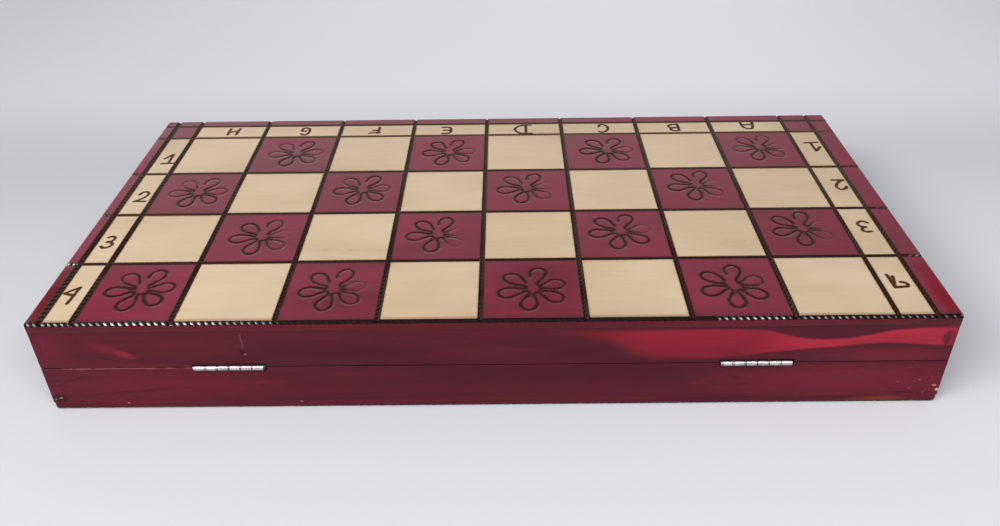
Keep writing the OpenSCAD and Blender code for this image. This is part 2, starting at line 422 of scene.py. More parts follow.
@dataclass(frozen=True)
class FaceFinish:
    """Lacquered wood of the playing face, with the burnt flowers and figures in it.

    Attributes:
        name: The material's name.
        deep: Colour of the dense grain.
        plain: Colour of the wood between.
        bright: Colour of the clearest wood.
        halo: Colour around a burnt line.
        rim: Colour of the line's edges.
        core: Colour of the line's middle.
        scorch: Colour beside the grooves.
        scorch_share: How strongly the grooves scorch the wood beside them.
        patches: Dull marks in the wood.
        patch_dulls: Share of the gloss that a mark takes away.
        scorch_sways: How far the grain moves the scorched edge, in metres.
        lacquer: Its gloss.
    """

    name: str
    deep: Colour
    plain: Colour
    bright: Colour
    halo: Colour
    rim: Colour
    core: Colour
    scorch: Colour
    scorch_share: float
    patches: tuple[Patch, ...] = ()
    patch_dulls: float = 0.8
    scorch_sways: float = 1.2 * MM
    lacquer: Lacquer = Lacquer(0.5, 0.34)

    def material(self, plan: "BoardPlan") -> bpy.types.Material:
        """Builds the material.

        Args:
            plan: The board, for the grooves' places.

        Returns:
            The material.
        """
        graph = NodeGraph(self.name)
        fibres = graph.noise((30, 480, 480), detail=4.0, rough=0.6, bend=0.4)
        cloud = graph.noise((16, 36, 36), shift=3.1, detail=4.0, rough=0.55)
        tone = fibres * 0.25 + cloud * 0.75
        wood = graph.ramp(tone, [(0.2, self.deep), (0.5, self.plain), (0.8, self.bright)], "B_SPLINE")
        level: Value | float = self.lacquer.level
        for mark in self.patches:
            cover = mark.cover(graph, cloud - NOISE_MIDDLE)
            wood = graph.blend(cover, wood, mark.colour)
            level = (1.0 - cover * self.patch_dulls) * level
        beside = plan.groove_distance(graph) + (fibres - NOISE_MIDDLE) * self.scorch_sways
        scorched = graph.fade(beside, -0.1 * MM, 0.9 * MM, self.scorch_share, 0.0)
        wood = graph.blend(scorched, wood, self.scorch)
        burn = graph.mark("burn")
        speckle = graph.noise((380, 380, 380), shift=1.7, detail=4.0, rough=0.7) - NOISE_MIDDLE
        burnt = burn + speckle * graph.fade(burn, 0.0, 0.4, 0.0, 0.9)
        char = graph.ramp(burnt, [(0.1, self.halo), (0.5, self.rim), (0.66, self.rim), (0.95, self.core)])
        wood = graph.blend(graph.fade(burnt, 0.02, 0.5), wood, char)
        self.lacquer.dress(graph, cloud)
        graph.surface(Base_Color=wood, Specular_IOR_Level=graph.fade(burnt, 0.2, 0.7, 1.0, 0.2) * level)
        graph.bump(fibres, 0.1, WOOD_RELIEF)
        return graph.material


@dataclass(frozen=True)
class GrooveFinish:
    """Charred and lacquered floor of a rolled groove.

    Attributes:
        name: The material's name.
        char: Colour in the valleys of the rope.
        crest: Colour on its crests.
        ash: Greyer colour that shows here and there on the crests.
        weak: Colour where the groove was hardly burnt.
        dust: Share of a pale colour mixed in towards the latch side, which is painted sheen of the grooves
            seen at a grazing angle.
        lacquer: Its gloss.
        pooled: Where the lacquer has pooled and shines: from X to X in millimetres, and how thickly.
        pool_edge: Over how many millimetres a pool thins out at its ends.
    """

    name: str = "burnt_groove"
    char: Colour = srgb(42, 14, 12)
    crest: Colour = srgb(60, 34, 28)
    ash: Colour = srgb(72, 60, 50)
    weak: Colour = srgb(110, 82, 56)
    dust: float = 0.07
    lacquer: Lacquer = Lacquer(0.08, 0.5)
    pooled: tuple[tuple[float, float, float], ...] = ((-192.0, -189.0, 1.0), (188.5, 192.0, 1.0))
    pool_edge: float = 4.0

    def material(self) -> bpy.types.Material:
        """Builds the material.

        Returns:
            The material.
        """
        graph = NodeGraph(self.name)
        x, y, _ = graph.axes()
        rope = graph.mark("rope")
        grit = graph.noise((1300, 1300, 1300), shift=0.4, detail=3.0, rough=0.6)
        drift = graph.noise((40, 40, 40), shift=5.2, detail=2.0)
        height = rope + (grit - NOISE_MIDDLE) * 0.5
        crest = graph.blend(graph.fade(drift, 0.4, 0.62), self.crest, self.ash)
        floor = graph.blend(graph.fade(height, 0.35, 1.0), self.char, crest)
        floor = graph.blend(graph.mark("char"), self.weak, floor)
        # Painted sheen: more of a pale colour towards the latch side, where the grooves are seen at a grazing
        # angle
        dust = graph.fade(y, -60 * MM, 60 * MM, 0.0, self.dust)
        self.lacquer.dress(graph, grit)
        gloss = self._pool(graph, x) * graph.fade(rope, 0.76, 0.9) * graph.fade(y, -45 * MM, 0.0, 1.0, 0.2)
        graph.surface(Base_Color=graph.blend(dust, floor, GROOVE_SHEEN_PAINT))
        graph.surface(Coat_Weight=gloss, Coat_Roughness=0.16, Coat_IOR=1.8)
        graph.bump(grit, 0.2, WOOD_RELIEF)
        return graph.material

    def _pool(self, graph: NodeGraph, x: Value) -> Value:
        """Weight of the pooled lacquer: even between each pair of X, and gone a pool's edge outside it.

        Args:
            graph: The material.
            x: X in metres.

        Returns:
            The weight.
        """
        weight: Value | float = 0.0
        for low, high, share in self.pooled:
            half = (high - low) / 2
            away = abs(x - (low + high) / 2 * MM)
            weight = graph.fade(away, half * MM, (half + self.pool_edge) * MM, share, 0.0).most(weight)
        return weight


@dataclass(frozen=True)
class RailFinish:
    """Stained and lacquered rail wood, whose grain runs along one axis.

    Attributes:
        name: The material's name.
        along_x: Whether the grain runs along X, or else along Y.
        dark: Colour of the dense bands.
        mid: Colour of the wood between.
        red: Colour where the wood took less stain.
        streaked: Whether the clear red streak of the hinge side runs through it.
        patches: Marks in the wood, and on the upper hinge rail a band of painted shade along the joint
            between the halves.
        lacquer: Its gloss.
    """

    name: str
    along_x: bool = True
    dark: Colour = srgb(67, 16, 28)
    mid: Colour = srgb(81, 20, 34)
    red: Colour = srgb(101, 24, 41)
    streaked: bool = False
    patches: tuple[Patch, ...] = ()
    lacquer: Lacquer = Lacquer(0.15, 0.42)

    def material(self) -> bpy.types.Material:
        """Builds the material.

        Returns:
            The material.
        """
        graph = NodeGraph(self.name)
        fine, wide, narrow = (
            along_grain(scale, self.along_x)
            for scale in ((20.0, 420.0, 420.0), (5.0, 30.0, 95.0), (600.0, 2400.0, 2400.0))
        )
        fibres = graph.noise(fine, detail=5.0, rough=0.6, bend=0.3)
        bands = graph.noise(wide, shift=2.3, detail=4.0, rough=0.55, bend=1.3)
        fray = graph.noise((150.0, 150.0, 500.0), shift=6.1, detail=4.0, rough=0.6) - NOISE_MIDDLE
        pores = graph.noise(narrow, shift=0.9, detail=2.0)
        tone = fibres * 0.3 + bands * 0.7
        wood = graph.ramp(tone, [(0.3, self.dark), (0.5, self.mid), (0.72, self.red)])
        if self.streaked:
            wood = self._streak(graph, wood, fibres)
        for patch in self.patches:
            wood = graph.blend(patch.cover(graph, fray), wood, patch.colour)
        graph.surface(Base_Color=graph.blend(graph.fade(pores, 0.68, 0.74, 0.0, 0.45), wood, PORE))
        self.lacquer.dress(graph, bands)
        graph.bump(fibres, 0.15, WOOD_RELIEF)
        return graph.material

    def _streak(self, graph: NodeGraph, wood: Value, fibres: Value) -> Value:
        """The clear red streak of the upper hinge rail, which lies where Z is between two curves of X.

        It begins as a faint blush, its edges grow sharper to the right, and there it is at its clearest.

        Args:
            graph: The material.
            wood: The stained wood.
            fibres: Random values of the grain.

        Returns:
            The colour.
        """
        x, _, z = graph.axes()
        height = z + (fibres - NOISE_MIDDLE) * (1.2 * MM)
        above = height - graph.curve(x, STREAK_LOW, STREAK_FULL)
        below = graph.curve(x, STREAK_TOP, STREAK_FULL) - height
        share = graph.fade(x, -50 * MM, 72 * MM)
        for distance, soft, sharp in ((above, 5.0, 0.9), (below, 2.2, 0.9)):
            width = graph.fade(x, 50 * MM, 98 * MM, soft * MM, sharp * MM)
            share = share * graph.math("DIVIDE", distance, width, clamp=True)
        upper = graph.fade(x, 15 * MM, 75 * MM) * graph.fade(above, 2 * MM, 13 * MM, 0.1, 0.45)
        clear = graph.fade(x, 92 * MM, 136 * MM).most(upper)
        grain = graph.blend(graph.fade(fibres, 0.35, 0.65), *STREAK_CLEAR)
        return graph.blend(share, wood, graph.blend(clear, STREAK_BLUSH, grain))


@dataclass(frozen=True)
class BareWoodFinish:
    """Unstained wood inside the trays.

    Attributes:
        name: The material's name.
        along_x: Whether the grain runs along X, or else along Y.
        stained_rim: Whether the wood is stained where it lies under the rails and past them.
        rim_x: How far from the middle, in X and in millimetres, the stain begins and where it is full.
        rim_y: The same in Y.
        rim_shift: How far the middle of the panel lies towards the hinge side, in millimetres.
    """

    name: str = "bare_wood"
    along_x: bool = True
    stained_rim: bool = False
    rim_x: tuple[float, float] = (187.5, 188.0)
    rim_y: tuple[float, float] = (93.5, 94.0)
    rim_shift: float = 0.7

    def material(self) -> bpy.types.Material:
        """Builds the material.

        Returns:
            The material.
        """
        graph = NodeGraph(self.name)
        fibres = graph.noise(along_grain((14, 260, 260), self.along_x), detail=5.0, rough=0.6, bend=0.5)
        cloud = graph.noise((9, 20, 20), shift=4.0, detail=3.0, rough=0.5, bend=1.0)
        shades = [(0.3, srgb(178, 138, 96)), (0.5, srgb(206, 172, 128)), (0.7, srgb(220, 190, 148))]
        wood = graph.ramp(fibres * 0.6 + cloud * 0.4, shades)
        if self.stained_rim:
            x, y, _ = graph.axes()
            ends = graph.fade(abs(x), *(edge * MM for edge in self.rim_x))
            sides = graph.fade(abs(y + self.rim_shift * MM), *(edge * MM for edge in self.rim_y))
            wood = graph.blend(ends.most(sides), wood, srgb(82, 20, 31))
        graph.surface(Base_Color=wood, Roughness=graph.fade(cloud, 0.3, 0.7, 0.62, 0.78))
        graph.bump(fibres, 0.2, WOOD_RELIEF)
        return graph.material


@dataclass(frozen=True)
class MetalFinish:
    """Plated or turned steel.

    Attributes:
        name: The material's name.
        bright: Colour of the clean metal.
        dull: Colour of the tarnish.
        rough: Roughness of the clean metal.
        brushed: Which axis the fine scratches run along: 0, 1 or 2.
        seams_x: X of the middle of a hinge in millimetres. Dark lines of painted shade lie about it and along
            the barrel's edges.
        seam_pitch: Distance between the lines of painted shade, which is nearly the length of a knuckle.
        barrel_z: Z of the line between the barrel's edges, which are painted darker, in millimetres.
        barrel_back: Y behind which the painted shade has faded out, in millimetres.
    """

    name: str
    bright: Colour
    dull: Colour
    rough: float
    brushed: int = 0
    seams_x: float | None = None
    seam_pitch: float = 5.0
    barrel_z: float = 24.0
    barrel_back: float = -96.7

    def material(self) -> bpy.types.Material:
        """Builds the material.

        Returns:
            The material.
        """
        graph = NodeGraph(self.name)
        scale = [2600.0, 2600.0, 2600.0]
        scale[self.brushed] = 240.0
        scratches = graph.noise(tuple(scale), detail=3.0, rough=0.6)
        cloud = graph.noise((300, 300, 300), shift=2.0, detail=3.0, rough=0.6)
        colour = graph.blend(graph.fade(cloud, 0.42, 0.72), self.bright, self.dull)
        # Painted shade: the barrel darker at its knuckle seams and along its top and bottom edges
        if self.seams_x is not None:
            colour = graph.blend(self._painted_shade(graph), colour, PAINTED_HINGE_SHADE)
        rough = graph.fade(scratches, 0.3, 0.7, self.rough, self.rough + 0.16)
        graph.surface(Base_Color=colour, Metallic=1.0, Roughness=rough)
        graph.bump(scratches, 0.1, METAL_RELIEF)
        return graph.material

    def _painted_shade(self, graph: NodeGraph) -> Value:
        """Share of painted shade on a hinge's barrel: dark lines at even distances across it, at the
        knuckles' seams, and one along each edge.

        Args:
            graph: The material.

        Returns:
            The share.
        """
        x, y, z = graph.axes()
        beside = graph.math("PINGPONG", abs(x - self.seams_x * MM), self.seam_pitch / 2 * MM)
        seam_shade = graph.fade(beside, 0.12 * MM, 0.42 * MM, 0.8, 0.0)
        # Painted shade along the barrel's top and bottom edges
        edge = graph.fade(abs(z - self.barrel_z * MM), 0.6 * MM, 0.95 * MM)
        return seam_shade.most(edge) * graph.fade(y, HINGE_FACE_Y * MM, self.barrel_back * MM, 0.88, 0.0)


# The board's plan


@dataclass(frozen=True)
class BoardPlan:
    """Lines of one playing face in millimetres, with the numbers of the CAD source.

    Attributes:
        left: X of the left end.
        right: X of the right end.
        fold: Y of the hinge side.
        latch: Y of the latch side.
        thick: Thickness of the panel.
        square: Side of one square.
        first_column: Width of the first column of squares.
        files: Number of columns of squares.
        ranks: Number of rows of squares on one half.
        fold_margin: Distance from the fold to the first row.
        left_border: Width of the left border.
        left_strip: Width of the left number strip.
        right_strip: Width of the right number strip.
        letter_strip: Width of the letter strip.
        file_stray: How far each groove across the board strays in X, at the hinge side and at the latch side.
        rank_stray: How far each groove along the board strays in Y, at the left end and at the right end.
        widths: How wide each groove across the board is, as a share of the plan's width.
        narrowing: How much narrower the grooves across the board get from the hinge side to the latch side.
        stretch_reach: Distance from a groove's middle at which its stretch has died out.
        stretch_fade: Over how far it dies out.
        held_left: How far left of the squares' second line X is held still for the grooves' distance.
        held_latch: How far past the squares' last line Y is held still for it.
    """

    left: float
    right: float
    fold: float
    latch: float
    thick: float
    square: float = 42.3
    first_column: float = 40.0
    files: int = 8
    ranks: int = 4
    fold_margin: float = 1.1
    left_border: float = 6.5
    left_strip: float = 14.0
    right_strip: float = 16.0
    letter_strip: float = 14.5
    file_stray: tuple[tuple[float, float], ...] = ()
    rank_stray: tuple[tuple[float, float], ...] = ()
    widths: tuple[float, ...] = (1.12, 1.05, 0.9, 0.9, 0.9, 0.84, 0.9, 0.9, 0.98, 0.84, 0.82)
    narrowing: float = 0.12
    stretch_reach: float = 4.5
    stretch_fade: float = 3.0
    held_left: float = 20.0
    held_latch: float = 10.0

    @property
    def squares_x(self) -> float:
        """X where the first column of squares begins."""
        return self.left + self.left_border + self.left_strip

    @property
    def file_lines(self) -> np.ndarray:
        """X of every groove that runs across the board, from the left."""
        first = self.squares_x + self.first_column
        regular = first + self.square * np.arange(self.files)
        before = [self.left + self.left_border, self.squares_x]
        return np.concatenate([before, regular, [regular[-1] + self.right_strip]])

    @property
    def rank_lines(self) -> np.ndarray:
        """Y of every groove that runs along the board, from the hinge side."""
        regular = self.fold + self.fold_margin + self.square * np.arange(1, self.ranks + 1)
        return np.concatenate([regular, [regular[-1] + self.letter_strip]])

    def stray(self, x: np.ndarray, y: np.ndarray) -> tuple[np.ndarray, np.ndarray]:
        """Where points of the regular plan lie on the board as it was cut by hand.

        Each groove is moved by its own stray, which changes evenly along it. Between two grooves the move is
        shared out evenly, and at the outline it is nothing. Each groove across the board is stretched to its
        own width, and the stretch dies out beside it.

        Args:
            x: X of the points in the regular plan.
            y: Y of the points in the regular plan.

        Returns:
            X and Y on the board.
        """
        along_y = ((y - self.fold) / (self.latch - self.fold)).clip(0, 1)
        along_x = ((x - self.left) / (self.right - self.left)).clip(0, 1)
        moved = []
        for value, lines, ends, strays, along in (
            (x, self.file_lines, (self.left, self.right), self.file_stray, along_y),
            (y, self.rank_lines, (self.fold, self.latch), self.rank_stray, along_x),
        ):
            knots = np.concatenate([[ends[0]], lines, [ends[1]]])
            table = np.vstack([[0, 0], np.array(strays), [0, 0]])
            first, last = (np.interp(value, knots, table[:, k]) for k in range(2))
            moved.append(value + first * (1 - along) + last * along)
        nearest = np.abs(x[:, None] - self.file_lines).argmin(1)
        away = x - self.file_lines[nearest]
        stretch = np.array(self.widths)[nearest] * (1 + self.narrowing * (0.5 - along_y)) - 1
        fading = ((self.stretch_reach - np.abs(away)) / self.stretch_fade).clip(0, 1)
        return moved[0] + away * stretch * fading, moved[1]

    def cell(self, x: np.ndarray, y: np.ndarray) -> tuple[np.ndarray, np.ndarray]:
        """Column of points, from 0 for the left border, and row, from 0 for the squares at the hinge side."""
        return np.searchsorted(self.file_lines, x), np.searchsorted(self.rank_lines, y)

    def is_stained(self, column: np.ndarray, row: np.ndarray, half: Half) -> np.ndarray:
        """Whether cells are stained dark: the borders, the corner blocks, and every second square.

        A square is dark where the number of its file, from A as 1 to H as 8, and its rank add up to an even
        number.

        Args:
            column: Columns as cell() gives them.
            row: Rows as cell() gives them.
            half: Which half of the board.

        Returns:
            True for each dark cell.
        """
        border = (column == 0) | (column > self.files + 2) | (row > self.ranks)
        strip = (column == 1) | (column == self.files + 2)
        letters = row == self.ranks
        number = self.files - (column - 2)
        rank = np.where(half is Half.UPPER, self.ranks - row, self.ranks + 1 + row)
        dark = (number + rank) % 2 == 0
        return np.where(border, True, np.where(strip | letters, strip & letters, dark))

    def groove_distance(self, graph: NodeGraph) -> Value:
        """Distance in metres from the point to the shoulder of the nearest groove, worked out in a material.

        The squares repeat, so their distance comes from the remainder of X or Y over one square. Past the
        squares X or Y is held still, so that no groove is repeated there. X and Y are those of the regular
        plan, which the mesh holds at each vertex.

        Args:
            graph: The material.

        Returns:
            The distance.
        """
        x, y, _ = graph.axes(graph.mark("plan", "Vector"))
        files, ranks = self.file_lines, self.rank_lines
        held_x = x.most((files[2] - self.held_left) * MM)
        held_y = y.least((ranks[self.ranks - 1] + self.held_latch) * MM)
        gaps = []
        for value, start in ((held_x, files[2]), (held_y, ranks[0])):
            turns = (value - start * MM) / (self.square * MM)
            gaps.append(abs(turns - graph.math("ROUND", turns)) * (self.square * MM))
        for value, line in ((x, files[0]), (x, files[1]), (x, files[-1]), (y, ranks[-1])):
            gaps.append(abs(value - line * MM))
        nearest = gaps[0]
        for gap in gaps[1:]:
            nearest = nearest.least(gap)
        return nearest - GROOVE_HALF * MM


# Burnt lines


def smooth_path(points: np.ndarray, step: float) -> np.ndarray:
    """A smooth curve through points.

    Each span is the cubic whose slope at each end is half the chord between the points on both sides of it.

    Args:
        points: The points, one row each, and any further columns that are carried along.
        step: Distance between the points of the result.

    Returns:
        Points about one step apart, with the same columns.
    """
    padded = np.vstack([2 * points[0] - points[1], points, 2 * points[-1] - points[-2]])
    share = np.linspace(0, 1, 12, endpoint=False)[None, :, None]
    p0, p1, p2, p3 = (padded[i : len(padded) - 3 + i][:, None, :] for i in range(4))
    slope = (p2 - p0) * share
    bend = (2 * p0 - 5 * p1 + 4 * p2 - p3) * share**2
    twist = (3 * p1 - p0 - 3 * p2 + p3) * share**3
    fine = 0.5 * (2 * p1 + slope + bend + twist)
    return evenly(np.vstack([fine.reshape(-1, points.shape[1]), points[-1:]]), step)


def evenly(points: np.ndarray, step: float) -> np.ndarray:
    """A polyline cut again at even distances along it.

    Args:
        points: The points, X and Y first.
        step: Distance between the points of the result.

    Returns:
        The new points, with the same columns.
    """
    gaps = np.linalg.norm(np.diff(points[:, :2], axis=0), axis=1)
    along = np.concatenate([[0], np.cumsum(gaps)])
    count = max(2, int(round(along[-1] / step)) + 1)
    wanted = np.linspace(0, along[-1], count)
    return np.stack([np.interp(wanted, along, points[:, k]) for k in range(points.shape[1])], 1)


@dataclass(frozen=True)
class BurntLine:
    """One burnt stroke of a flower or of a figure.

    Attributes:
        path: Points of its middle, in millimetres, with the strength of the burn from 0 to 1 as third column.
        half: Half its width.
        halo: How far the browning reaches past it.
        sink: Its depth.
    """

    path: np.ndarray
    half: float
    halo: float
    sink: float

    def vertices(self) -> np.ndarray:
        """Points for the mesh: the path carried seven times side by side, and half a turn round each end.

        Returns:
            X and Y of the points.
        """
        slope = np.gradient(self.path[:, :2], axis=0)
        slope /= np.linalg.norm(slope, axis=1, keepdims=True)
        normal = np.stack([-slope[:, 1], slope[:, 0]], 1)
        widths = np.array([0.5 * self.half, self.half, self.half + self.halo])
        across = np.concatenate([-widths, [0], widths])
        sides = (self.path[:, None, :2] + normal[:, None, :] * across[None, :, None]).reshape(-1, 2)
        turn = np.linspace(-math.pi / 2, math.pi / 2, 7)[1:-1]
        ends = []
        for point, outward in ((self.path[0, :2], -slope[0]), (self.path[-1, :2], slope[-1])):
            side = np.array([-outward[1], outward[0]])
            arc = np.cos(turn)[:, None] * outward + np.sin(turn)[:, None] * side
            ends += [point + arc * width for width in widths]
        return np.vstack([sides, *ends])

    def press(self, points: np.ndarray) -> tuple[np.ndarray, np.ndarray]:
        """What the stroke does at points, from their distance to its path.

        The depth falls off with the square of the distance inside the line. The burn is 1 in its middle, 0.55
        at its edge and 0 at the end of the halo.

        Args:
            points: X and Y of the points.

        Returns:
            The depth in millimetres, and the burn from 0 to 1.
        """
        start, end = self.path[:-1, :2], self.path[1:, :2]
        run = end - start
        share = ((points[:, None] - start) * run).sum(2) / (run**2).sum(1)
        share = share.clip(0, 1)
        away = np.linalg.norm(points[:, None] - start - run * share[..., None], axis=2)
        which = away.argmin(1)
        rows = np.arange(len(points))
        distance, share = away[rows, which], share[rows, which]
        strength = self.path[which, 2] * (1 - share) + self.path[which + 1, 2] * share
        depth = self.sink * (1 - (distance / self.half) ** 2).clip(0, 1) * strength
        rings = [0, 0.4 * self.half, self.half, self.half + self.halo]
        burn = np.interp(distance, rings, [1, 0.95, 0.55, 0]) * strength
        return depth, burn


@dataclass(frozen=True)
class BurntFlower:
    """The six-petalled looped flower that is burnt into every dark square, drawn in one stroke.

    Each petal is a loop, wide towards its tip. Neighbouring loops join in a small turn near the middle,
    and the stroke stays open between the first petal and the last.

    Attributes:
        angles: Direction of each petal in degrees, in the stroke's order.
        reaches: Distance of each petal's tip from the middle.
        half_width: Half the width of a petal, along the middle of the line.
        turn: Distance of the turns between petals from the middle.
        loop: Points of one petal: its share of the reach, and of half the width.
        line_half: Half the width of the line.
        halo: How far the browning reaches past it.
        sink: Its depth.
        step: Distance between the points of the stroke.
    """

    angles: tuple[float, ...] = (135, 189, 256, 320, 374, 434)
    reaches: tuple[float, ...] = (15.4, 15.0, 15.0, 14.4, 13.8, 15.4)
    half_width: float = 3.4
    turn: float = 2.9
    loop: tuple[tuple[float, float], ...] = (
        (0.24, -0.29), (0.34, -0.4), (0.54, -0.8), (0.74, -1.0), (0.92, -0.7),
        (1.0, 0.0),
        (0.92, 0.7), (0.74, 1.0), (0.54, 0.8), (0.34, 0.4), (0.24, 0.29),
    )
    line_half: float = 0.52
    halo: float = 1.35
    sink: float = 0.22
    step: float = 1.15

    def stroke(self, centre: np.ndarray, press: tuple[float, ...], rng: np.random.Generator) -> BurntLine:
        """The flower at one place, pressed unevenly.

        Where a petal is weak, its tip is weaker than its legs.

        Args:
            centre: The middle of its square, in millimetres.
            press: A row of PRESSES.
            rng: Source of the small differences between flowers.

        Returns:
            The stroke.
        """
        points, petals = [], len(self.angles)
        turned = np.array(self.angles) + press[0] + rng.uniform(-1.5, 1.5, petals)
        for i, (angle, reach, strength) in enumerate(zip(turned, self.reaches, press[3:])):
            axis = np.radians(angle)
            loop = np.array(self.loop)
            if i == 0:
                loop = loop[1:]
            if i == petals - 1:
                loop = loop[:-2]
            u, v = loop[:, 0] * reach, loop[:, 1] * self.half_width
            x, y = u * math.cos(axis) - v * math.sin(axis), u * math.sin(axis) + v * math.cos(axis)
            pressed = 1 - (1 - strength) * ((loop[:, 0] - 0.2) / 0.6).clip(0, 1)
            points.append(np.stack([x, y, pressed], 1))
            if i < petals - 1:
                middle = np.radians((angle + turned[i + 1]) / 2)
                points.append(np.array([[self.turn * math.cos(middle), self.turn * math.sin(middle), 0.9]]))
        path = np.vstack(points)
        path[:, :2] += centre + press[1:3]
        path[:, 2] *= rng.uniform(0.86, 1.0, len(path))
        path = smooth_path(path, self.step)
        path[:, 2] = path[:, 2].clip(0, 1)
        return BurntLine(path, self.line_half, self.halo, self.sink)


# How each flower of the upper half was pressed, from the hinge side and from the left: its turn in degrees,
# how far it sits from the middle of its square in X and Y in millimetres, and the strength of its six petals
PRESSES = (
    (-4, 1.0, 1.0, 0.8, 1.0, 1.0, 1.0, 0.75, 0.85),
    (-1, 0.0, 0.0, 0.9, 1.0, 1.0, 0.75, 0.35, 0.8),
    (4, 0.5, -1.0, 1.0, 1.0, 1.0, 1.0, 0.8, 1.0),
    (8, 0.5, -0.5, 0.95, 1.0, 1.0, 0.95, 0.65, 0.95),
    (-2, 2.0, 0.0, 0.95, 0.95, 1.0, 0.55, 0.15, 0.65),
    (-1, 0.0, 0.5, 1.0, 0.9, 1.0, 0.25, 0.0, 0.9),
    (-1, 0.0, 1.5, 1.0, 1.0, 0.95, 0.9, 0.35, 0.9),
    (5, 0.5, 2.5, 0.9, 0.95, 1.0, 0.4, 0.15, 0.85),
    (-6, 1.5, 0.5, 0.45, 0.55, 1.0, 0.85, 0.55, 0.7),
    (-5, 1.0, 1.5, 0.6, 0.75, 0.95, 0.9, 0.5, 0.85),
    (-2, 0.0, 1.5, 0.65, 0.8, 0.85, 0.5, 0.1, 0.8),
    (-1, 1.0, 2.5, 0.85, 0.95, 0.95, 0.45, 0.1, 0.85),
    (-5, 1.5, 0.5, 0.55, 0.55, 0.95, 0.65, 0.55, 0.75),
    (-5, 1.0, 0.0, 0.85, 0.85, 0.95, 0.7, 0.5, 0.85),
    (-6, 2.0, 0.0, 0.95, 1.0, 1.0, 0.85, 0.45, 0.85),
    (-4, 1.0, 1.5, 0.55, 0.55, 0.95, 0.5, 0.25, 0.6),
)


@dataclass(frozen=True)
class Figure:
    """A letter or number, burnt in by hand.

    Attributes:
        size: Its width and height in millimetres, along the middle of the line.
        curves: Strokes through which a smooth curve runs, in shares of the width and height.
        lines: Strokes of straight pieces.
        place: How far it sits from the middle of its cell, in X and Y of the upper half.
        right_place: The same in the strip at the right, where it is turned round.
        line_half: Half the width of the line.
        halo: How far the browning reaches past it.
        sink: Its depth.
        step: Distance between the points of a stroke.
    """

    size: tuple[float, float]
    curves: tuple[tuple[tuple[float, float], ...], ...] = ()
    lines: tuple[tuple[tuple[float, float], ...], ...] = ()
    place: tuple[float, float] = (0.0, 0.0)
    right_place: tuple[float, float] = (0.6, 2.6)
    line_half: float = 0.68
    halo: float = 0.46
    sink: float = 0.22
    step: float = 0.8

    def strokes(
        self,
        centre: tuple[float, float],
        right: tuple[float, float],
        up: tuple[float, float],
        rng: np.random.Generator,
    ) -> list[BurntLine]:
        """The figure's strokes at one place.

        Args:
            centre: Its middle, in millimetres.
            right: Direction of its right.
            up: Direction of its top.
            rng: Source of the hand's unsteadiness.

        Returns:
            The strokes.
        """
        frame = np.array([right, up], float)
        made = []
        for points, curved in [(c, True) for c in self.curves] + [(c, False) for c in self.lines]:
            share = np.array(points, float) - 0.5
            place = share * self.size @ frame + centre
            place = place + rng.uniform(-0.15, 0.15, place.shape)
            path = np.column_stack([place, rng.uniform(0.8, 1.0, len(place))])
            drawn = smooth_path(path, self.step) if curved else evenly(path, self.step)
            made.append(BurntLine(drawn, self.line_half, self.halo, self.sink))
        return made


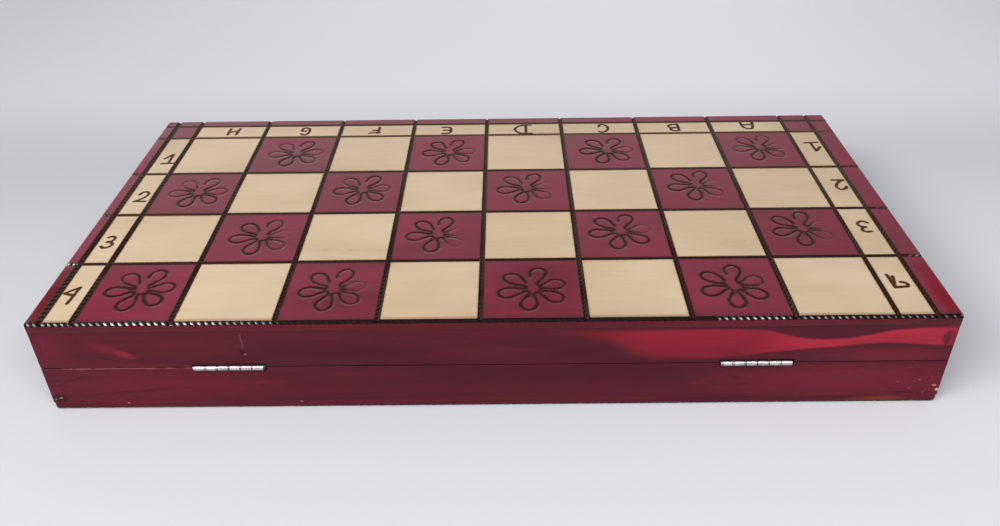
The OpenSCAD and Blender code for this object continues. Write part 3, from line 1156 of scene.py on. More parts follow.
FIGURES = {
    "A": Figure(
        (7.0, 8.3),
        curves=(
            ((0.03, 0.0), (0.08, 0.6), (0.26, 0.93), (0.5, 1.0), (0.76, 0.93), (0.94, 0.6), (0.97, 0.0)),
        ),
        lines=(((0.08, 0.3), (0.94, 0.36)),),
        place=(0.5, 1.3),
    ),
    "B": Figure(
        (6.2, 8.3),
        curves=(
            ((0.1, 1.0), (0.68, 0.97), (0.86, 0.76), (0.6, 0.56), (0.12, 0.52)),
            ((0.12, 0.52), (0.82, 0.48), (0.98, 0.24), (0.7, 0.02), (0.1, 0.0)),
        ),
        lines=(((0.1, 0.0), (0.1, 1.0)),),
        place=(0.5, -0.1),
    ),
    "C": Figure(
        (5.8, 9.8),
        curves=(
            (
                (0.95, 0.93), (0.6, 1.0), (0.22, 0.82), (0.05, 0.5),
                (0.16, 0.16), (0.5, 0.0), (0.8, 0.06), (0.92, 0.3),
            ),
        ),
        place=(2.6, -0.2),
    ),
    "D": Figure(
        (9.4, 11.2),
        curves=(((0.3, 1.0), (0.74, 0.88), (1.0, 0.5), (0.74, 0.12), (0.3, 0.0)),),
        lines=(((0.34, 0.0), (0.34, 1.0)), ((0.0, 0.98), (0.46, 1.0)), ((0.06, 0.0), (0.5, 0.02))),
        place=(-0.4, -0.5),
    ),
    "E": Figure(
        (5.2, 7.8),
        curves=(((1.0, 0.98), (0.4, 1.0), (0.1, 0.82), (0.06, 0.5), (0.1, 0.16), (0.45, 0.0), (1.0, 0.04)),),
        lines=(((0.06, 0.52), (0.82, 0.5)),),
        place=(-2.0, -0.5),
    ),
    "F": Figure(
        (5.8, 6.8),
        lines=(((0.1, 0.0), (0.14, 1.0)), ((0.0, 0.97), (1.0, 1.0)), ((0.14, 0.52), (0.72, 0.56))),
        place=(-1.3, 0.5),
    ),
    "G": Figure(
        (5.0, 8.8),
        curves=(
            (
                (0.9, 0.82), (0.6, 1.0), (0.2, 0.88), (0.04, 0.5),
                (0.18, 0.12), (0.58, 0.0), (0.94, 0.14), (0.96, 0.42),
            ),
        ),
        lines=(((0.98, 0.42), (0.5, 0.45)),),
        place=(1.2, -0.3),
    ),
    "H": Figure(
        (6.0, 7.4),
        lines=(((0.05, 0.0), (0.12, 1.0)), ((0.9, 0.0), (0.97, 1.0)), ((0.08, 0.38), (0.93, 0.6))),
        place=(1.3, 0.3),
    ),
    "1": Figure(
        (6.8, 11.0),
        lines=(((0.0, 0.52), (0.5, 1.0), (0.56, 0.02)), ((0.02, 0.0), (1.0, 0.05))),
        place=(2.0, -3.8),
        right_place=(1.4, 2.0),
    ),
    "2": Figure(
        (5.6, 9.6),
        curves=(
            ((0.08, 0.72), (0.3, 0.96), (0.66, 1.0), (0.92, 0.78), (0.78, 0.48), (0.36, 0.16), (0.03, 0.02)),
        ),
        lines=(((0.03, 0.02), (1.0, 0.0)),),
        place=(0.8, -2.9),
        right_place=(2.5, 2.0),
    ),
    "3": Figure(
        (4.8, 9.6),
        curves=(
            ((0.1, 0.93), (0.55, 1.0), (0.9, 0.84), (0.74, 0.6), (0.34, 0.52)),
            ((0.34, 0.52), (0.84, 0.44), (1.0, 0.22), (0.66, 0.02), (0.28, 0.0), (0.0, 0.12)),
        ),
        place=(-0.5, -3.0),
        right_place=(1.0, 3.7),
    ),
    "4": Figure(
        (5.9, 11.2),
        lines=(((0.98, 1.0), (0.84, 0.0)), ((0.98, 1.0), (0.0, 0.63), (0.9, 0.5))),
        place=(-2.1, -2.4),
    ),
    "open 4": Figure(
        (6.4, 8.8),
        curves=(((0.96, 1.0), (0.5, 0.98), (0.08, 0.94), (0.0, 0.74), (0.14, 0.62), (0.4, 0.6)),),
        lines=(((0.96, 1.0), (1.0, 0.0)), ((0.9, 0.9), (0.66, 0.1))),
        right_place=(0.4, 2.0),
    ),
    "5": Figure(
        (5.4, 9.8),
        curves=(((0.12, 0.56), (0.55, 0.64), (0.96, 0.44), (0.86, 0.12), (0.45, 0.0), (0.02, 0.1)),),
        lines=(((0.9, 1.0), (0.2, 0.98), (0.12, 0.56)),),
        place=(0.4, -2.4),
    ),
    "6": Figure(
        (5.4, 10.0),
        curves=(
            (
                (0.85, 0.96), (0.45, 0.88), (0.12, 0.52), (0.08, 0.2), (0.45, 0.0),
                (0.9, 0.14), (0.88, 0.42), (0.5, 0.54), (0.14, 0.36),
            ),
        ),
        place=(-0.8, -3.2),
    ),
    "7": Figure(
        (5.6, 10.0),
        lines=(((0.0, 0.98), (0.98, 1.0), (0.32, 0.0)), ((0.28, 0.5), (0.84, 0.53))),
        place=(0.9, -2.0),
    ),
    "8": Figure(
        (5.2, 10.2),
        curves=(
            (
                (0.5, 0.55), (0.16, 0.76), (0.5, 1.0), (0.86, 0.77), (0.5, 0.55),
                (0.06, 0.25), (0.5, 0.0), (0.94, 0.26), (0.5, 0.55),
            ),
        ),
        place=(-0.2, -3.6),
    ),
}


# Pieces


def mesh_piece(
    name: str, vertices: np.ndarray, groups: list[tuple[np.ndarray, np.ndarray, np.ndarray]]
) -> bpy.types.Object:
    """An object of a mesh given as arrays.

    Args:
        name: The piece's name.
        vertices: X, Y and Z in metres.
        groups: For each kind of face its corners, one row a face, its materials, and whether it is smooth.

    Returns:
        The object, at the origin.
    """
    mesh = bpy.data.meshes.new(name)
    mesh.vertices.add(len(vertices))
    mesh.vertices.foreach_set("co", vertices.astype(np.float32).ravel())
    corners = np.concatenate([g[0].ravel() for g in groups])
    sizes = np.concatenate([np.full(len(g[0]), g[0].shape[1]) for g in groups])
    mesh.loops.add(len(corners))
    mesh.loops.foreach_set("vertex_index", corners.astype(np.int32))
    mesh.polygons.add(len(sizes))
    mesh.polygons.foreach_set("loop_start", np.concatenate([[0], np.cumsum(sizes)[:-1]]).astype(np.int32))
    mesh.polygons.foreach_set("material_index", np.concatenate([g[1] for g in groups]).astype(np.int32))
    mesh.update(calc_edges=True)
    mesh.polygons.foreach_set("use_smooth", np.concatenate([g[2] for g in groups]).astype(bool))
    mesh.update()
    piece = bpy.data.objects.new(name, mesh)
    bpy.context.scene.collection.objects.link(piece)
    return piece


# Seeds of the small differences between the flowers and figures of each half
UPPER_SEED = 7
LOWER_SEED = 11

# Heights and distances up to these count as nothing, in millimetres
LEVEL = 1e-6
SHALLOW = 0.01


@dataclass
class PlayingPanel:
    """One playing panel: a board with rolled rope grooves, burnt flowers and figures, as one closed mesh.

    Attributes:
        half: Which half of the board.
        plan: Its lines.
        face_z: Z of the playing face, in millimetres.
        groove_half: Half the width of a groove across the board.
        rank_half: Half the width of a groove along the board.
        floor_half: Half the width of its floor.
        depth: Its depth.
        bevel: Width and depth of the half groove along the fold.
        pitch: Length of one strand of the rope.
        rope: Height of a strand.
        fold_rope: Height of a strand along the fold, where the rope is flatter.
        lean: How far a strand runs along the groove for each millimetre across.
        scallop: How far the strands nibble at the groove's shoulders.
        samples: Points along one strand.
        rank_char: How strongly each groove along the board was burnt, from the hinge side.
        edge_round: Radius of the eased edges.
        corner: Radius of the panel's corners, seen from above.
        margin: How far past its half width a groove is worked out.
        fold_lean: How far a strand runs along the fold for each millimetre from it.
        border_x: Distance from the middle in X past which the ropes along the board show in full.
        inner_ease: Width of the panel's eased inner edge.
        wall_top: Height below every eased edge, where the straight walls begin.
        strokes: The burnt lines of its flowers and figures.
    """

    half: Half
    plan: BoardPlan
    face_z: float
    groove_half: float = GROOVE_HALF
    rank_half: float = 1.05
    floor_half: float = 0.25
    depth: float = 1.3
    bevel: float = 1.4
    pitch: float = 2.92
    rope: float = 0.45
    fold_rope: float = 0.26
    lean: float = 1.5
    scallop: float = 0.1
    samples: int = 5
    rank_char: tuple[float, ...] = (1.0, 1.0, 1.0, 0.7, 0.9)
    edge_round: float = 1.0
    corner: float = 1.2
    margin: float = 0.3
    fold_lean: float = 0.8
    border_x: float = 185.5
    inner_ease: float = 0.12
    wall_top: float = -2.3
    strokes: list[BurntLine] = field(default_factory=list)

    def __post_init__(self) -> None:
        """Seeds the small differences of this half, and sets where a groove's section has its points."""
        self.rng = np.random.default_rng(UPPER_SEED if self.half is Half.UPPER else LOWER_SEED)
        self.across = np.array([-1.0, -0.7, -0.42, -0.16, 0.16, 0.42, 0.7, 1.0])

    def strand(self, along: np.ndarray) -> np.ndarray:
        """Height of the rope, 0 to 1: the absolute sine, so strands are round and the valleys sharp."""
        return np.abs(np.sin(np.pi * along / self.pitch))

    def groove(self, across: np.ndarray, along: np.ndarray, half: float) -> tuple[np.ndarray, np.ndarray]:
        """Height of one groove: sides that slope to a narrow floor, with a rope of slanting strands in it.

        Args:
            across: Distance from the groove's middle.
            along: Distance along it.
            half: Half its width.

        Returns:
            The height, 0 on the face and less below it, and how high the rope is there, from 0 to 1.
        """
        strand = self.strand(along - self.lean * across)
        share = np.abs(across) / (half + self.scallop * strand)
        floor = self.floor_half / half
        height = -self.depth * ((1 - share) / (1 - floor)).clip(0, 1)
        bulge = (1 - share**2).clip(0, 1)
        height = height + self.rope * strand * bulge
        return np.minimum(height, 0), strand * (share < 1.02)

    def inside(self, x: np.ndarray, y: np.ndarray) -> np.ndarray:
        """Distance from points to the panel's outline, which is a rectangle with round corners.

        Args:
            x: X of the points.
            y: Y of the points.

        Returns:
            Distances, positive inside.
        """
        plan = self.plan
        qx = np.abs(x - (plan.left + plan.right) / 2) - (plan.right - plan.left) / 2 + self.corner
        qy = np.abs(y - (plan.fold + plan.latch) / 2) - (plan.latch - plan.fold) / 2 + self.corner
        outer = np.hypot(np.maximum(qx, 0), np.maximum(qy, 0))
        return self.corner - outer - np.minimum(np.maximum(qx, qy), 0)

    def relief(self, x: np.ndarray, y: np.ndarray) -> tuple[np.ndarray, np.ndarray, np.ndarray]:
        """Height of the playing face: the lowest of its eased edge, the grooves and the fold's half groove.

        A groove that runs along the board fades out inside one that crosses it, because the crossing ones
        were rolled last.

        Args:
            x: X of the points.
            y: Y of the points.

        Returns:
            Heights in millimetres, 0 on the face, and from 0 to 1 how high the rope is and how strongly it is
            burnt.
        """
        radius = self.edge_round
        inward = self.inside(x, y).clip(0, radius)
        height = np.sqrt(np.maximum(radius**2 - (radius - inward) ** 2, 0)) - radius
        rope = np.zeros_like(x)
        char = np.ones_like(x)
        open_share = np.ones_like(x)
        for line in self.plan.file_lines:
            near = np.abs(x - line) < self.groove_half + self.margin
            cut, strand = self.groove(x[near] - line, y[near], self.groove_half)
            height[near] = np.minimum(height[near], cut)
            rope[near] = strand
            share = np.abs(x[near] - line) / self.groove_half
            t = ((share - 0.4) / 0.5).clip(0, 1)
            open_share[near] = t * t * (3 - 2 * t)
        for line, burnt in zip(self.plan.rank_lines, self.rank_char):
            near = np.abs(y - line) < self.rank_half + self.margin
            cut, strand = self.groove(y[near] - line, x[near], self.rank_half)
            height[near] = np.minimum(height[near], cut * open_share[near] * (0.4 + 0.6 * burnt))
            flat = np.where(np.abs(x[near]) > self.border_x, 1.0, 0.4)
            rope[near] = np.maximum(rope[near], flat * strand * open_share[near])
            char[near] = 1 - (1 - burnt) * open_share[near]
        up = y - self.plan.fold
        near = up < self.bevel + self.margin
        strand = self.strand(x[near] + self.fold_lean * up[near]) ** 0.6
        share = (up[near] / self.bevel).clip(0, 1)
        cut = -self.bevel * (1 - share) + self.fold_rope * strand * (1 - share**8)
        height[near] = np.minimum(height[near], cut)
        rope[near] = strand * (up[near] < self.bevel + SHALLOW)
        return np.where(np.abs(height) < SHALLOW, 0, height), rope, char

    def outline(self) -> tuple[np.ndarray, np.ndarray]:
        """The panel's outline, with a point wherever a groove's section meets it.

        Returns:
            X and Y of the points, counter-clockwise from the left end of the fold, and the direction inwards
            at each.
        """
        plan, r = self.plan, self.corner
        step = self.pitch / self.samples
        fold_x = np.arange(plan.left + r, plan.right - r, step)
        right_y = self._stations(plan.fold + r, plan.latch - r, plan.rank_lines, self.rank_half)
        latch_x = self._stations(plan.left + r, plan.right - r, plan.file_lines, self.groove_half)
        turns = np.radians(np.array([18, 36, 54, 72]))
        sides = [
            (np.stack([fold_x, np.full_like(fold_x, plan.fold)], 1), (0, 1)),
            self._corner(plan.right - r, plan.fold + r, turns - math.pi / 2),
            (np.stack([np.full_like(right_y, plan.right), right_y], 1), (-1, 0)),
            self._corner(plan.right - r, plan.latch - r, turns),
            (np.stack([latch_x, np.full_like(latch_x, plan.latch)], 1)[::-1], (0, -1)),
            self._corner(plan.left + r, plan.latch - r, turns + math.pi / 2),
            (np.stack([np.full_like(right_y, plan.left), right_y], 1)[::-1], (1, 0)),
            self._corner(plan.left + r, plan.fold + r, turns + math.pi),
        ]
        points = np.vstack([s[0] for s in sides])
        inward = np.vstack([np.broadcast_to(np.array(s[1], float), s[0].shape) for s in sides])
        return points, inward

    def _corner(self, x: float, y: float, angles: np.ndarray) -> tuple[np.ndarray, np.ndarray]:
        """Points round a corner, from its middle and their angles in radians, and the directions inwards."""
        outward = np.stack([np.cos(angles), np.sin(angles)], 1)
        return np.array([x, y]) + self.corner * outward, -outward

    def _stations(self, low: float, high: float, lines: np.ndarray, half: float) -> np.ndarray:
        """Places along one side: the section of every groove that ends there, and plain steps between.

        Args:
            low: Lower end of the side.
            high: Upper end of the side.
            lines: Middles of the grooves.
            half: Half their width.

        Returns:
            The places, in order.
        """
        cuts = (lines[:, None] + self.across * half).ravel()
        plain = np.arange(low, high, 2.4)
        clear = np.abs(plain[:, None] - lines).min(1) > self.groove_half + 1.0
        places = np.unique(np.round(np.concatenate([[low, high], cuts, plain[clear]]), 4))
        return places[(places >= low) & (places <= high)]

    def face_points(self, ring: np.ndarray, inward: np.ndarray) -> np.ndarray:
        """Every point of the face's mesh: the outline, then its eased edge, the grooves and the burnt lines.

        Args:
            ring: The outline.
            inward: The direction inwards at each of its points.

        Returns:
            X and Y of the points.
        """
        plan = self.plan
        step = self.pitch / self.samples
        on_fold = ring[:, 1] < plan.fold + LEVEL
        sets = [ring]
        for distance in (0.13, 0.45, self.edge_round):
            sets.append(ring[~on_fold] + inward[~on_fold] * distance)
        for share in (0.2, 0.45, 0.72, 1.0):
            row = ring[on_fold] + [0, share * self.bevel]
            row[:, 0] -= self.fold_lean * share * self.bevel
            sets.append(row[self.inside(row[:, 0], row[:, 1]) > min(share * self.bevel, 1.15) - LEVEL])
        grooves = []
        along_y = np.arange(plan.fold - 3, plan.latch + 3, step)
        for line in plan.file_lines:
            across, along = np.meshgrid(self.across, along_y)
            wide = across * (self.groove_half + self.scallop * self.strand(along))
            grooves.append(np.stack([line + wide, along + self.lean * wide], 2).reshape(-1, 2))
            crossings = (plan.rank_lines[:, None] + self.across * self.rank_half).ravel()
            shoulders = np.meshgrid([line - self.groove_half, line + self.groove_half], crossings)
            grooves.append(np.stack(shoulders, 2).reshape(-1, 2))
        along_x = np.arange(plan.left - 3, plan.right + 3, step)
        for line in plan.rank_lines:
            across, along = np.meshgrid(self.across, along_x)
            wide = across * (self.rank_half + self.scallop * self.strand(along))
            rows = np.stack([along + self.lean * wide, line + wide], 2).reshape(-1, 2)
            away = np.abs(rows[:, :1] - plan.file_lines).min(1)
            grooves.append(rows[away > self.groove_half + 0.12])
        groove_points = np.vstack(grooves)
        ends = self.inside(groove_points[:, 0], groove_points[:, 1]) > self.edge_round + 0.12
        above = groove_points[:, 1] > plan.fold + self.bevel + 0.2
        sets.append(groove_points[ends & above])
        drawn = np.vstack([s.vertices() for s in self.strokes])
        clear_x = np.abs(drawn[:, :1] - plan.file_lines).min(1) > self.groove_half + 0.4
        clear_y = np.abs(drawn[:, 1:] - plan.rank_lines).min(1) > self.groove_half + 0.4
        sets.append(drawn[clear_x & clear_y & (self.inside(drawn[:, 0], drawn[:, 1]) > 1.5)])
        points = np.vstack(sets)
        _, first = np.unique(np.round(points / 0.06).astype(np.int64), axis=0, return_index=True)
        keep = np.zeros(len(points), bool)
        keep[first] = True
        keep[: len(ring)] = True
        return points[keep]

    def burn(self, points: np.ndarray) -> tuple[np.ndarray, np.ndarray]:
        """What all the burnt lines do together: the deepest and the darkest of them counts.

        Args:
            points: X and Y of the points.

        Returns:
            The depth in millimetres, and the burn from 0 to 1.
        """
        depth, burn = np.zeros(len(points)), np.zeros(len(points))
        for stroke in self.strokes:
            reach = stroke.half + stroke.halo
            low, high = stroke.path[:, :2].min(0) - reach, stroke.path[:, :2].max(0) + reach
            near = ((points > low) & (points < high)).all(1).nonzero()[0]
            if len(near):
                sunk, burnt = stroke.press(points[near])
                depth[near] = np.maximum(depth[near], sunk)
                burn[near] = np.maximum(burn[near], burnt)
        return depth, burn

    def add_strokes(self) -> None:
        """Lays out the flowers, the letters and the numbers of this half.

        The letters have their tops towards the hinges on both halves. The numbers of the lower half are
        those of the upper half turned about the fold.
        """
        plan, flower = self.plan, BurntFlower()
        xs = (plan.file_lines[1:-2] + plan.file_lines[2:-1]) / 2
        floor = np.concatenate([[plan.fold + plan.fold_margin], plan.rank_lines])
        ys = (floor[:-2] + floor[1:-1]) / 2
        upper = self.half is Half.UPPER
        presses = iter(PRESSES if upper else PRESSES[::-1])
        for row, y in enumerate(ys):
            for column, x in enumerate(xs):
                if plan.is_stained(np.array(column + 2), np.array(row), self.half):
                    self.strokes.append(flower.stroke(np.array([x, y]), next(presses), self.rng))
        side = -1.0 if upper else 1.0
        letter_y = (plan.rank_lines[-2] + plan.rank_lines[-1]) / 2
        for x, letter in zip(xs, "HGFEDCBA"):
            figure = FIGURES[letter]
            centre = (x + figure.place[0], letter_y + figure.place[1])
            self.strokes += figure.strokes(centre, (side, 0), (0, -1), self.rng)
        left_x = (plan.file_lines[0] + plan.file_lines[1]) / 2
        right_x = (plan.file_lines[-2] + plan.file_lines[-1]) / 2
        up = 1.0 if upper else -1.0
        for row, y in enumerate(ys):
            figure = FIGURES[str(plan.ranks - row if upper else plan.ranks + 1 + row)]
            aside, back = figure.place
            self.strokes += figure.strokes((left_x + aside, y + up * back), (1, 0), (0, up), self.rng)
            across = FIGURES["open 4"] if figure is FIGURES["4"] else figure
            centre = (right_x + across.right_place[0], y + up * across.right_place[1])
            self.strokes += across.strokes(centre, (-1, 0), (0, -up), self.rng)

    def build(self) -> bpy.types.Object:
        """Makes the panel's mesh: the carved face, four walls with an eased inner edge, and the inner face.

        Returns:
            The piece.
        """
        self.add_strokes()
        ring, inward = self.outline()
        points = self.face_points(ring, inward)
        count = len(ring)
        flat, triangles = self._knit(points, count)
        if not np.allclose(flat[:count], ring, atol=1e-4):
            raise RuntimeError("the outline was changed while the face was knitted")
        corners = self._turned(flat, triangles)
        height, rope, char = self.relief(flat[:, 0], flat[:, 1])
        sunk, burn = self.burn(flat)
        height = height - sunk
        middle = flat[corners].mean(1)
        area = self._areas(middle, height[corners])
        smooth = (np.abs(height[corners]).max(1) > LEVEL) | (burn[corners].max(1) > 0.02)
        ease, low = self.inner_ease, -self.plan.thick
        walls = [(self.wall_top, 0.0), (low + ease, 0.0), (low, ease)]
        rows = [np.column_stack([ring + inward * inset, np.full(count, z)]) for z, inset in walls]
        first = len(flat)
        regular = np.vstack([flat, *[row[:, :2] for row in rows]])
        strayed = np.stack(self.plan.stray(regular[:, 0], regular[:, 1]), 1)
        vertices = np.column_stack([strayed, np.concatenate([height, *[row[:, 2] for row in rows]])])
        rings = [np.arange(count)] + [first + count * k + np.arange(count) for k in range(len(walls))]
        bands = [np.stack([a, b, np.roll(b, -1), np.roll(a, -1)], 1) for a, b in zip(rings, rings[1:])]
        quads = np.vstack(bands)
        inner = rows[-1][:, :2]
        cap = self._turned(inner, self._knit(inner, count)[1])[:, ::-1] + rings[-1][0]
        if self.half is Half.LOWER:
            vertices[:, 2] *= -1
            corners, quads, cap = corners[:, ::-1], quads[:, ::-1], cap[:, ::-1]
        vertices[:, 2] += self.face_z
        name = f"{self.half.prefix}_board"
        piece = mesh_piece(
            name,
            vertices * MM,
            [
                (corners, area, smooth),
                (quads, np.full(len(quads), Area.EDGE.value), np.ones(len(quads), bool)),
                (cap, np.full(len(cap), Area.INNER.value), np.zeros(len(cap), bool)),
            ],
        )
        rest = np.zeros(len(vertices) - first)
        for label, values in (("burn", burn), ("rope", rope), ("char", char)):
            store = piece.data.attributes.new(label, "FLOAT", "POINT")
            store.data.foreach_set("value", np.concatenate([values, rest]).astype(np.float32))
        store = piece.data.attributes.new("plan", "FLOAT_VECTOR", "POINT")
        plan_place = np.column_stack([regular, np.zeros(len(regular))]) * MM
        store.data.foreach_set("vector", plan_place.astype(np.float32).ravel())
        return piece

    def _knit(self, points: np.ndarray, count: int) -> tuple[np.ndarray, np.ndarray]:
        """Triangles between points, inside the loop that the first of them make.

        Args:
            points: X and Y of the points.
            count: How many of them make the loop.

        Returns:
            X and Y of the points of the triangles, and the triangles' corners.
        """
        loop = [(i, (i + 1) % count) for i in range(count)]
        knit = geometry.delaunay_2d_cdt([Vector(p) for p in points.tolist()], loop, [], 1, LEVEL, False)
        return np.array([tuple(v) for v in knit[0]]), np.array(knit[2])

    def _turned(self, points: np.ndarray, corners: np.ndarray) -> np.ndarray:
        """Triangles with their corners in counter-clockwise order.

        Args:
            points: X and Y of the points.
            corners: Three points of each triangle.

        Returns:
            The triangles' corners.
        """
        a, b, c = (points[corners[:, i]] for i in range(3))
        area = (b[:, 0] - a[:, 0]) * (c[:, 1] - a[:, 1]) - (b[:, 1] - a[:, 1]) * (c[:, 0] - a[:, 0])
        return np.where(area[:, None] < 0, corners[:, ::-1], corners)

    def _areas(self, middle: np.ndarray, heights: np.ndarray) -> np.ndarray:
        """What each face is: groove, stained wood or pale wood.

        Args:
            middle: X and Y of the faces' middles.
            heights: Heights of their corners.

        Returns:
            The Area values.
        """
        plan, nibble = self.plan, self.scallop * 0.6
        from_files = np.abs(middle[:, :1] - plan.file_lines).min(1)
        from_ranks = np.abs(middle[:, 1:] - plan.rank_lines).min(1)
        in_groove = (from_files < self.groove_half + nibble) | (from_ranks < self.rank_half + nibble)
        in_groove |= middle[:, 1] < plan.fold + self.bevel
        in_groove &= heights.min(1) < -LEVEL
        in_fold = in_groove & (middle[:, 1] < plan.fold + self.bevel)
        column, row = plan.cell(middle[:, 0], middle[:, 1])
        stained = plan.is_stained(column, row, self.half)
        wood = np.where(stained, Area.STAINED.value, Area.PALE.value)
        return np.where(in_fold, Area.FOLD.value, np.where(in_groove, Area.GROOVE.value, wood))


# Points of a CAD mesh nearer than this, in metres, are one
MERGED = 2e-6

# Angles between faces in degrees: flatter ones are one face, and sharper ones are eased or shaded as edges
FLAT_ANGLE = 0.4
EASED_ANGLE = 40
SHADED_ANGLE = 35


@dataclass
class EasedPiece:
    """A CAD shape whose sharp edges are eased, in place of its node.

    Attributes:
        node: The CAD node.
        body: The CAD body it rides on.
        slot: The record's material slot. It is not used.
        ease: Width of the eased edges, in millimetres.
        finishes: Materials of the piece.
    """

    node: str
    body: str
    slot: str
    ease: float
    finishes: tuple[bpy.types.Material, ...]

    def shares(self, middles: np.ndarray, runs: np.ndarray) -> np.ndarray:
        """Share of the full width that each edge is eased by, from its middle in millimetres and its run."""
        return np.ones(len(middles))

    def finish_of(self, middles: np.ndarray, normals: np.ndarray) -> np.ndarray:
        """Place in the list of materials of each face, from its middle in millimetres and its normal."""
        return np.zeros(len(middles), int)

    def build(self, source: bpy.types.Object) -> bpy.types.Object:
        """Copies the node's mesh, joins its loose triangles and bevels its edges.

        Args:
            source: The CAD node.

        Returns:
            The piece.
        """
        shape = bmesh.new()
        shape.from_mesh(source.data)
        bmesh.ops.remove_doubles(shape, verts=shape.verts, dist=MERGED)
        flat = math.radians(FLAT_ANGLE)
        bmesh.ops.dissolve_limit(shape, angle_limit=flat, verts=shape.verts, edges=shape.edges)
        weight = shape.edges.layers.float.new("bevel_weight_edge")
        sharp = [edge for edge in shape.edges if edge.calc_face_angle(0.0) > math.radians(EASED_ANGLE)]
        ends = np.array([[tuple(v.co) for v in edge.verts] for edge in sharp]) / MM
        runs = ends[:, 1] - ends[:, 0]
        runs /= np.linalg.norm(runs, axis=1, keepdims=True)
        for edge, share in zip(sharp, self.shares(ends.mean(1), runs)):
            edge[weight] = share
        middles = np.array([tuple(face.calc_center_median()) for face in shape.faces]) / MM
        normals = np.array([tuple(face.normal) for face in shape.faces])
        places = self.finish_of(middles, normals).astype(np.int32)
        mesh = bpy.data.meshes.new(f"eased_{self.node}")
        shape.to_mesh(mesh)
        shape.free()
        mesh.materials.clear()
        for finish in self.finishes:
            mesh.materials.append(finish)
        mesh.polygons.foreach_set("material_index", places)
        mesh.polygons.foreach_set("use_smooth", np.ones(len(mesh.polygons), bool))
        mesh.set_sharp_from_angle(angle=math.radians(SHADED_ANGLE))
        piece = bpy.data.objects.new(f"eased_{self.node}", mesh)
        bpy.context.scene.collection.objects.link(piece)
        bevel = piece.modifiers.new("eased_edges", "BEVEL")
        bevel.width = self.ease * MM
        bevel.segments = 2
        bevel.limit_method = "WEIGHT"
        bevel.use_clamp_overlap = True
        bevel.harden_normals = True
        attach(piece, self.body)
        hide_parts(self.node)
        return piece


@dataclass
class RailPiece(EasedPiece):
    """A rail: rounded at the box's corners, tight at its glued joints, stained outside and bare inside.

    Attributes:
        low: Lowest X, Y and Z of the four rails of its half, in millimetres.
        high: Highest X, Y and Z of the four rails of its half, in millimetres.
        half: Which half it belongs to.
        tight: Share of the full easing at a glued joint.
        joint: Share of it at the joint between the halves.
        touch: How near, in millimetres, counts as on the outside of the four rails.
    """

    low: np.ndarray
    high: np.ndarray
    half: Half
    tight: float = 0.08
    joint: float = 0.6
    touch: float = 0.01

    @property
    def joint_z(self) -> float:
        """Z of the faces that meet the other half."""
        return self.low[2] if self.half is Half.UPPER else self.high[2]

    def outer(self, middles: np.ndarray) -> np.ndarray:
        """Whether points lie on the outside of the four rails in X, Y and Z."""
        return (np.abs(middles - self.low) < self.touch) | (np.abs(middles - self.high) < self.touch)

    def shares(self, middles: np.ndarray, runs: np.ndarray) -> np.ndarray:
        """Full easing at the box's vertical corners, some at the joint of the halves, and little elsewhere.

        Args:
            middles: Middles of the edges, in millimetres.
            runs: Directions of the edges, of length 1.

        Returns:
            Shares from 0 to 1.
        """
        outer = self.outer(middles)
        corner = outer[:, 0] & outer[:, 1] & (np.abs(runs[:, 2]) > 0.9)
        joint = (np.abs(middles[:, 2] - self.joint_z) < self.touch) & (outer[:, 0] | outer[:, 1])
        return np.where(corner, 1.0, np.where(joint, self.joint, self.tight))

    def finish_of(self, middles: np.ndarray, normals: np.ndarray) -> np.ndarray:
        """Bare wood on the faces that look into the tray, and stained wood on the others.

        Args:
            middles: Middles of the faces, in millimetres.
            normals: Directions that the faces look in.

        Returns:
            0 for stained wood and 1 for bare wood.
        """
        outer = self.outer(middles)
        across = 0 if self.node.endswith(("left_rail", "right_rail")) else 1
        inward = (middles * normals)[:, across] < -1.0
        return (inward & ~outer[:, 0] & ~outer[:, 1]).astype(int)


# Sub-assemblies


@dataclass
class Workshop:
    """What every sub-assembly works with.

    Attributes:
        nodes: The CAD nodes by name.
        finishes: Materials that are already made, by name.
    """

    nodes: dict[str, bpy.types.Object]
    finishes: dict[str, bpy.types.Material] = field(default_factory=dict)

    def finish(self, made: "RailFinish | BareWoodFinish | MetalFinish | GrooveFinish") -> bpy.types.Material:
        """The material of a finish, made once.

        Args:
            made: The finish.

        Returns:
            The material.
        """
        key = repr(made)
        if key not in self.finishes:
            self.finishes[key] = made.material()
        return self.finishes[key]


# How far the hand-guided grooves stray from the regular plan, in millimetres: those across the board at the
# hinge side and at the latch side, and those along the board at the left end and at the right end
FILE_STRAY = (
    (-0.4, 0.6), (-1.0, 0.4), (-0.4, -0.1), (-0.3, 0.6), (-0.8, 0.1), (-1.1, -0.7),
    (-0.1, -0.6), (0.5, -0.3), (0.2, -0.4), (-1.0, -0.7), (-1.1, -1.3),
)
RANK_STRAY = ((0.3, 0.8), (0.6, 0.1), (0.1, 0.3), (0.1, 0.0), (0.9, -0.3))

# Outline of the red streak on the upper hinge rail: pairs of X and Z in millimetres
STREAK_TOP = (
    (-192, 42.4), (75, 41.9), (100, 41.6), (113, 40.9), (120, 38.6), (127, 36.8), (136, 36.1),
    (146, 36.4), (155, 38.2), (163, 40.4), (175, 41.5), (192, 41.7),
)
STREAK_LOW = (
    (-192, 41.0), (-20, 39.8), (20, 38.4), (36, 37.0), (48, 33.5), (58, 27.5),
    (66, 24.5), (85, 25.0), (95, 26.0), (110, 27.8), (120, 29.2), (130, 30.2),
    (140, 31.0), (150, 32.2), (160, 33.0), (170, 32.7), (186, 31.5), (192, 31.3),
)

# Height that is white in the ramps of the streak's outline, and the streak's colours: where it begins, and
# its grain
STREAK_FULL = 50.0 * MM
STREAK_BLUSH = srgb(116, 22, 36)
STREAK_CLEAR = (srgb(155, 31, 52), srgb(169, 37, 60))

